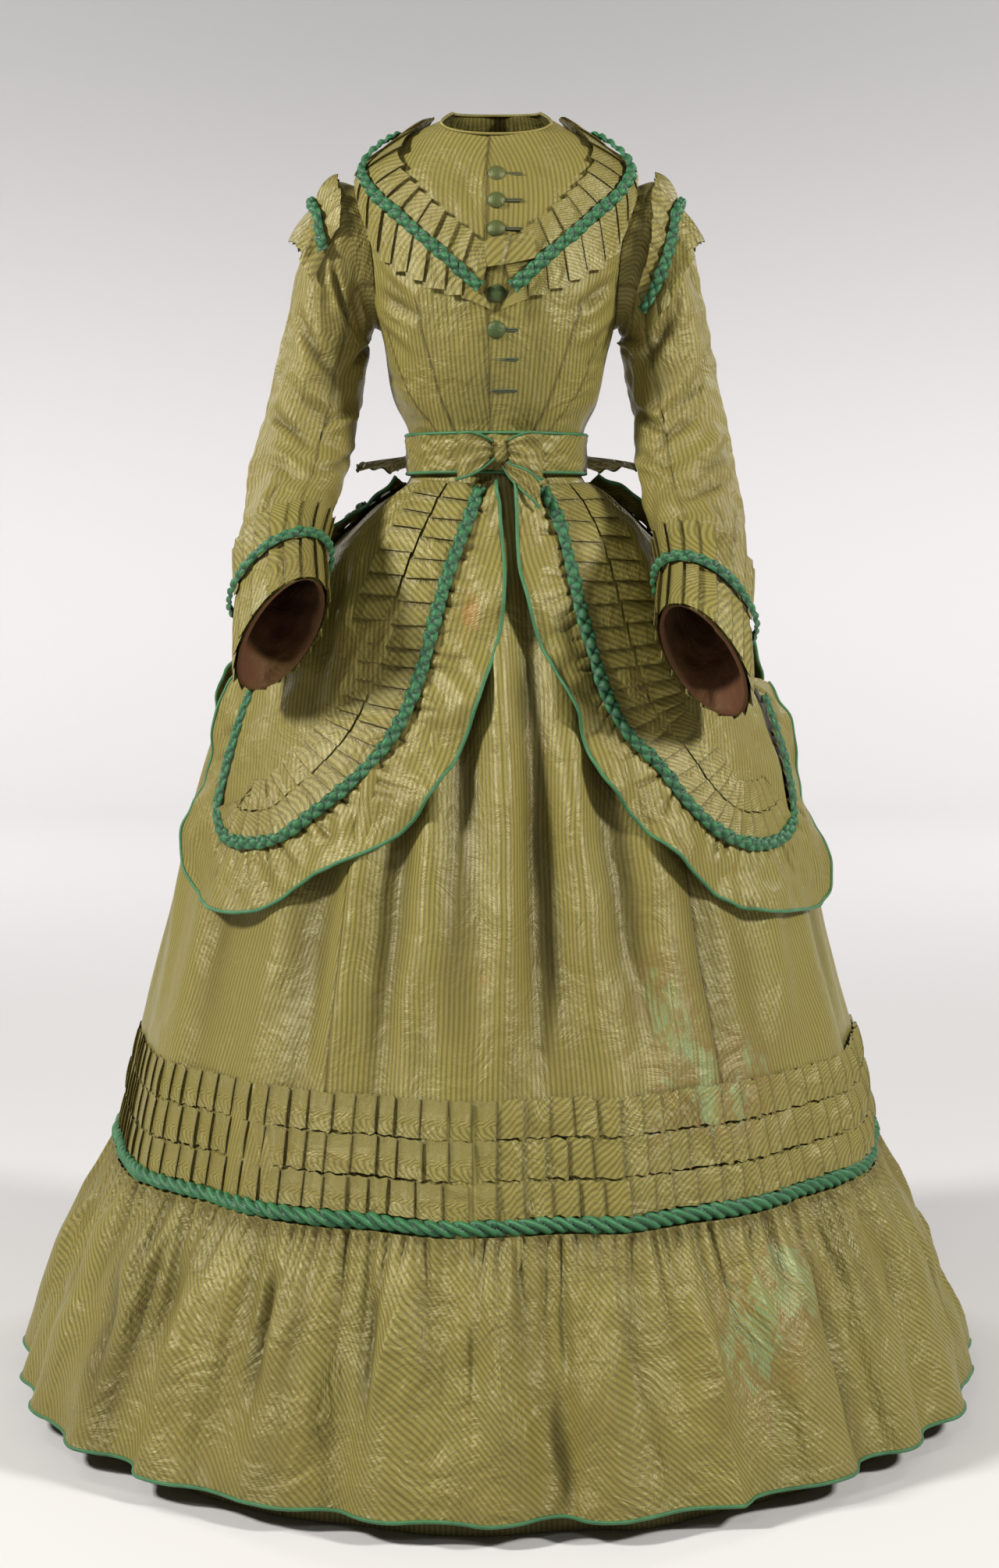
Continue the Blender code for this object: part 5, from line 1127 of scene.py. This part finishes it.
for word, side in (("left", 1), ("right", -1)):
    for part, first, last, flat, area in SLEEVE_PARTS:
        column, row = np.meshgrid(columns(first, last, 0.16, (0.04,)), SLEEVE_ROWS)
        creases = np.array(SLEEVE_CREASES[word]) * SLEEVE_STEP
        swell = smooth((row - 0.6) / 0.8) * smooth((8.3 - row) / 1.2)
        plain = sleeve_face(side, column, row)
        # Soft unevenness and creases, the fullness eased into the sleeve head, and the seam's groove
        out = 0.0014 * ripples(plain, 91 + side, 0.055, 1.6) + 0.0006 * ripples(plain, 93, 0.022, 1.2)
        folds = sum(
            swell * crease_field((column + shift) * COLUMN_STEP, row * ROW_STEP, creases)
            for shift in (0, -SLEEVE_COLUMNS)
        )
        outside = np.clip(np.sin(2 * math.pi * column / SLEEVE_COLUMNS), 0, 1)
        head = 0.0080 * np.sin(math.pi * np.clip(row / 1.3, 0, 1)) * outside
        seam = np.minimum(column - first, last - column) * COLUMN_STEP
        points = sleeve(side, column, row, swell * out + folds + head - 0.0012 * hump(seam, 0.0020))
        across = lengths(points, 1)
        threads = np.stack([across - across[:, across.shape[1] // 2, None], lengths(points, 0)], -1)
        # Dark seam lines, painted shade along the armhole seam, and painted shade in the creases' hollows
        shade = 0.8 * hump(seam, 0.0010) + 0.5 * hump(row, 0.03) + hollow(folds, 0.006)
        piece = add_cloth(f"sleeve_{part}_{word}", points, threads, sleeve_silk, shade=np.clip(shade, 0, 1),
                          flip=side < 0)

    # Round the outside of the sleeve head, two pleated bands that flare from a ruche between them
    start, end = (-0.9, 5.8) if side > 0 else (0.8, 6.0)
    for near, far, seed, suffix in ((-0.05, -0.72, 3, ""), (0.05, 0.66, 5, "_outer")):
        def on_cap(along, across, out):
            row = cap_row(along) + near + across * (far - near)
            return sleeve(side, along, row, out + 0.0100 * np.clip(across, 0, 1) ** 1.5)

        marks = uneven(start, end, 8 + 3 * (side > 0), seed + side, 0.10)
        points, threads, shade = knife_pleats(on_cap, marks, gap=0.0022, fold=0.0085, rows=7, seed=seed,
                                              wide=0.030, slope=BIAS * side, tilt=0.10)
        cap = add_cloth(f"cap_pleats_{word}{suffix}", points, threads, bertha_silk,
                        replaces=(f"cap_pleats_{word}",), shade=shade, flip=side < 0)
    along = np.linspace(start, end, 90)
    line = sleeve(side, along, cap_row(along), 0.0085)
    way = unit(line - sleeve(side, along, cap_row(along)))
    add_ruche(f"cap_ruche_{word}", line, way, half_width=0.0068, rise=0.0070, seed=95 + side, puff=0.0150)

    # Two pleated bands and a ruche finish the mouth, and the brown lining shows inside it
    for near, far, seed, suffix in ((7.92, 7.05, 97, ""), (8.08, 8.98, 99, "_lower")):
        def on_cuff(along, across, out):
            return sleeve(side, along, near + across * (far - near), out + 0.0020 * across**2)

        marks = uneven(0.2, SLEEVE_COLUMNS + 0.2, 19, seed + side)
        points, threads, shade = knife_pleats(on_cuff, marks, gap=0.0016, fold=0.0064, rows=8, seed=seed,
                                              wide=0.036, slope=BIAS * side, tilt=0.07)
        cuff = add_cloth(f"cuff_pleats_{word}{suffix}", points, threads, bertha_silk,
                         replaces=(f"cuff_pleats_{word}",), closed=True, shade=shade, flip=side < 0)
    along = np.linspace(0, SLEEVE_COLUMNS, 260)[:-1]
    line = sleeve(side, along, 8.0, 0.0062)
    way = unit(line - sleeve(side, along, 8.0))
    add_ruche(f"cuff_ruche_{word}", line, way, half_width=0.0068, rise=0.0070, seed=101 + side, puff=0.0155,
              closed=True)
    column, row = np.meshgrid(np.arange(0, SLEEVE_COLUMNS, 0.2), LINING_ROWS)
    out = -0.0048 + 0.0010 * ripples(sleeve_face(side, column, row), 105, 0.03)
    out[-3:] = np.array((-0.0036, -0.0016, 0.0014))[:, None]
    points = sleeve(side, column, row, out)
    threads = np.stack([lengths(points, 1), lengths(points, 0)], -1)
    lining = add_cloth(f"cuff_lining_{word}", points, threads, lining_cotton, closed=True)

# The belt: a shaped band of the silk on the bias, piped in green along both edges, over the waist seam.
BELT_TOP, BELT_BOTTOM = 1.109, 1.069


def belt(angle, height, out=0.0):
    section = read(TORSO_SECTIONS, np.full(np.shape(angle), WAIST))
    points = round_body(section, angle, 0.94)
    points[..., 2] = height - SHOULDERS
    flare = 0.0031 + 0.0005 * (height - WAIST) / 0.02
    return points + outward(angle) * (out + flare)[..., None]


belt_silk = silk_finish("belt_silk")
angle, height = np.meshgrid(np.arange(0, 360, 2.0), np.linspace(BELT_TOP, BELT_BOTTOM, 16))
plain = belt(angle, height)
out = 0.0028 + 0.0005 * ripples(plain, 111, 0.030, 0.5) + 0.0004 * ripples(plain, 112, 0.014, 0.6)
points = belt(angle, height, out)
threads = turned(np.stack([lengths(points, 1), BELT_TOP - height], -1), BIAS)
waistband = add_cloth("belt", points, threads, belt_silk, closed=True)
turn = np.arange(0, 360, 3.0)
ways = np.broadcast_to(UP, (len(turn), 3))
for name, level, rise in (("belt_piping_top", BELT_TOP, 1), ("belt_piping_bottom", BELT_BOTTOM, -1)):
    line = belt(turn, np.full(len(turn), level), np.full(len(turn), 0.0022)) + ways * rise * 0.0012
    add_piping(name, line, ways * rise, 0.0020, closed=True)

# The bow on the belt: two flat loops and one end of the same silk edged in green, drawn through a knot.
BOW_LOOP = np.array((
    # step, across, forward, drop, half height
    (0, 0.006, 0.006, 0.0, 0.008), (1, 0.019, 0.0165, 0.002, 0.017), (2, 0.032, 0.021, 0.004, 0.0225),
    (3, 0.0455, 0.013, 0.006, 0.024), (4, 0.043, 0.003, 0.005, 0.022), (5, 0.026, 0.001, 0.003, 0.017),
    (6, 0.01, 0.0012, 0.0, 0.0085),
))
BOW_END = np.array((
    (0, 0.002, 0.0062, 0.012, 0.004), (1, 0.012, 0.013, 0.023, 0.0075), (2, 0.024, 0.0195, 0.031, 0.0115),
    (3, 0.034, 0.0238, 0.038, 0.0132), (4, 0.0435, 0.0262, 0.047, 0.0142),
))
BOW_RIBBONS = (
    # name, stations, side, flat size and area
    ("bow_loop_left", BOW_LOOP, 1, (0.090, 0.046), 0.0032),
    ("bow_loop_right", BOW_LOOP, -1, (0.090, 0.046), 0.0032),
    ("bow_end", BOW_END, 1, (0.062, 0.028), 0.0012),
)
belt_front = belt(np.array(0.0), np.array(WAIST), np.array(0.0030))[1]
middle = np.array((0.004, belt_front - 0.0006, WAIST + 0.002 - SHOULDERS))
bow_silk = silk_finish("bow_silk", crumple=1.1)
for name, table, side, flat, area in BOW_RIBBONS:
    last = len(table) - 1
    loop = table is BOW_LOOP
    at, share = np.meshgrid(np.linspace(0, last, 12 * last), np.linspace(1, -1, 21))
    here = read(table, at)
    gather = 0.0024 * np.exp(-at / 1.6) * np.sin(9 * share + 1.5 * side) + 0.0014 * np.sin(4 * share + 2 * at)
    level = share * here[..., 4] - here[..., 3] - 0.0015 * (share * at / last) ** 2
    points = middle + np.stack([side * here[..., 1], -here[..., 2] - gather, level], -1)
    threads = np.stack([lengths(points, 1), share * here[..., 4]], -1)
    # Painted shade next to the knot, on the far half of each loop behind, and in the gathers' hollows
    behind = 0.5 * smooth((at - 3.0) / 0.8) * loop
    shade = np.clip(0.6 * np.exp(-at / 0.7) + behind + hollow(-gather, 0.003), 0, 1)
    if side < 0:
        points, threads, shade = points[:, ::-1], threads[:, ::-1], shade[:, ::-1]
    ribbon = add_cloth(name, points, turned(threads, BIAS), bow_silk, shade=shade)
    for row, suffix in ((0, "top"), (-1, "bottom")):
        edge = points[row] + np.array((0, 0, 0.0004 * (1, -1)[row]))
        way = np.broadcast_to(np.array((0.0, -1.0, 0.0)), edge.shape)
        add_piping(f"{name}_edge_{suffix}", edge, way, 0.0016, (), sides=6)
turn, rise = np.meshgrid(np.radians(np.arange(0, 360, 12)), np.linspace(-1, 1, 17))
creased = 1 + 0.10 * np.sin(5 * turn + 2 * rise) + 0.05 * np.sin(9 * turn)
girth = np.clip(1 - rise**4, 0.05, 1) ** 0.5 * creased
points = middle + np.stack([
    0.0098 * girth * np.cos(turn), -0.0064 - 0.0058 * girth * np.sin(turn), 0.0140 * rise,
], -1)
threads = turned(np.stack([turn * 0.009, rise * 0.0140], -1), BIAS)
# Painted shade at the top and bottom of the knot, where it tucks in
add_cloth("bow_knot", points, threads, bow_silk, closed=True, shade=0.25 * np.abs(rise) ** 4)

# The peplum: a short frill laid in deep pleats, caught under the belt behind and standing out over the
# overskirt.
PEPLUM_START, PEPLUM_END = 106, 254
PEPLUM_WAVES, PEPLUM_PLEATS = 6, 20
angle, share = np.meshgrid(np.linspace(PEPLUM_START, PEPLUM_END, 340), np.linspace(0, 1, 18))
turns = 2 * math.pi * (angle - PEPLUM_START) / (PEPLUM_END - PEPLUM_START)
wave = 0.5 - 0.5 * np.cos(PEPLUM_WAVES * turns)
fine = np.sin(PEPLUM_PLEATS * turns + 0.8 * np.sin(angle / 9))
plain = round_body(read(TORSO_SECTIONS, np.full(angle.shape, WAIST)), angle)
reach = 0.0088 + share * (0.048 + 0.014 * wave + 0.014 * np.abs(np.sin(np.radians(angle))))
points = plain + outward(angle) * reach[..., None]
height = 1.0895 + share * (0.007 * wave - 0.016) + 0.0026 * fine * np.sin(math.pi * share * 0.6)
points[..., 2] = height - SHOULDERS
threads = np.stack([np.radians(angle) * 0.16, share * 0.066], -1)
# Painted shade where the peplum comes out from under the belt
peplum = add_cloth("peplum", points, turned(threads, 20), bertha_silk, shade=0.4 * np.exp(-share / 0.1))
edge = points[-1]
add_piping("peplum_edge", edge, np.broadcast_to(UP, edge.shape), 0.0014, (), sides=5)

# The studio: one pale sweep of paper as floor and backdrop, and a soft light from the upper left.
CAMERA_PLACE = (0.0035, -3.0, -0.4)
CAMERA_PITCH = 5.4
LENS = 60.64
PAPER_REACH = 12.0
PAPER_BEND, BEND_RADIUS = 6.4, 2.2
PAPER_TOP = 9.0
profile = [(-PAPER_REACH, -SHOULDERS), (PAPER_BEND, -SHOULDERS)]
for turn in np.linspace(0.1, math.pi / 2, 16):
    rise = BEND_RADIUS * (1 - math.cos(turn))
    profile.append((PAPER_BEND + BEND_RADIUS * math.sin(turn), rise - SHOULDERS))
profile.append((PAPER_BEND + BEND_RADIUS, PAPER_TOP))
points = np.array([[(x, y, z) for x in (-PAPER_REACH, PAPER_REACH)] for y, z in profile])
faces = [(2 * i, 2 * i + 1, 2 * i + 3, 2 * i + 2) for i in range(len(profile) - 1)]
mesh = bpy.data.meshes.new("sweep")
mesh.from_pydata(points.reshape(-1, 3).tolist(), [], faces)
mesh.shade_smooth()
# Painted shade: the paper is coloured darker higher up, a painted falloff of light up the sweep
PAPER_LOW = (0.66, 0.645, 0.64, 1.0)
PAPER_HIGH = (0.34, 0.34, 0.335, 1.0)
paper = bpy.data.materials.new("paper")
paper.use_nodes = True
start = Tone(paper.node_tree)
where = start.node("ShaderNodeTexCoord", {}, {}, "Object")
height = start.node("ShaderNodeSeparateXYZ", {}, {0: where}, "Z")
colour = height.ramped(-0.9, 2.2).mixed(PAPER_LOW, PAPER_HIGH)
set_shader(paper, {"Roughness": 0.9}, {"Base Color": colour})
mesh.materials.append(paper)
sweep = bpy.data.objects.new("sweep", mesh)
bpy.context.scene.collection.objects.link(sweep)

LIGHTS = (
    # name, place, aimed at, size, watts, colour
    ("left", (-2.9, -1.5, 1.5), (-0.1, 0.0, -0.7), 0.55, 172.0, (1.0, 0.985, 0.95)),
    ("right", (2.9, -1.5, 1.2), (0.1, 0.0, -0.8), 0.55, 132.0, (1.0, 0.985, 0.95)),
    ("front", (-0.9, -3.6, 1.9), (0.0, 0.0, -0.6), 0.5, 14.0, (1.0, 0.99, 0.97)),
    ("paper_left", (-4.2, 4.4, 2.6), (0.8, 8.2, -0.6), 2.0, 260.0, (1.0, 0.98, 0.985)),
    ("paper_right", (4.2, 4.4, 2.6), (-0.8, 8.2, -0.6), 2.0, 260.0, (1.0, 0.98, 0.985)),
)
for name, place, aim, size, watts, colour in LIGHTS:
    lamp = bpy.data.lights.new(name, "AREA")
    lamp.size = size
    lamp.energy = watts
    lamp.color = colour
    light = bpy.data.objects.new(name, lamp)
    light.location = place
    way = Vector(aim) - Vector(place)
    light.rotation_mode = "QUATERNION"
    light.rotation_quaternion = way.to_track_quat("-Z", "Y")
    bpy.context.scene.collection.objects.link(light)

bpy.context.scene.view_settings.view_transform = "Standard"
world = bpy.data.worlds.new("studio")
bpy.context.scene.world = world
world.use_nodes = True
background = world.node_tree.nodes["Background"]
background.inputs["Color"].default_value = (0.80, 0.81, 0.84, 1.0)
background.inputs["Strength"].default_value = 0.09

lens = bpy.data.cameras.new("camera")
lens.lens = LENS
lens.sensor_width = 36.0
camera = bpy.data.objects.new("camera", lens)
camera.location = CAMERA_PLACE
camera.rotation_euler = (math.radians(90.0 - CAMERA_PITCH), 0.0, 0.0)
bpy.context.scene.collection.objects.link(camera)
bpy.context.scene.camera = camera
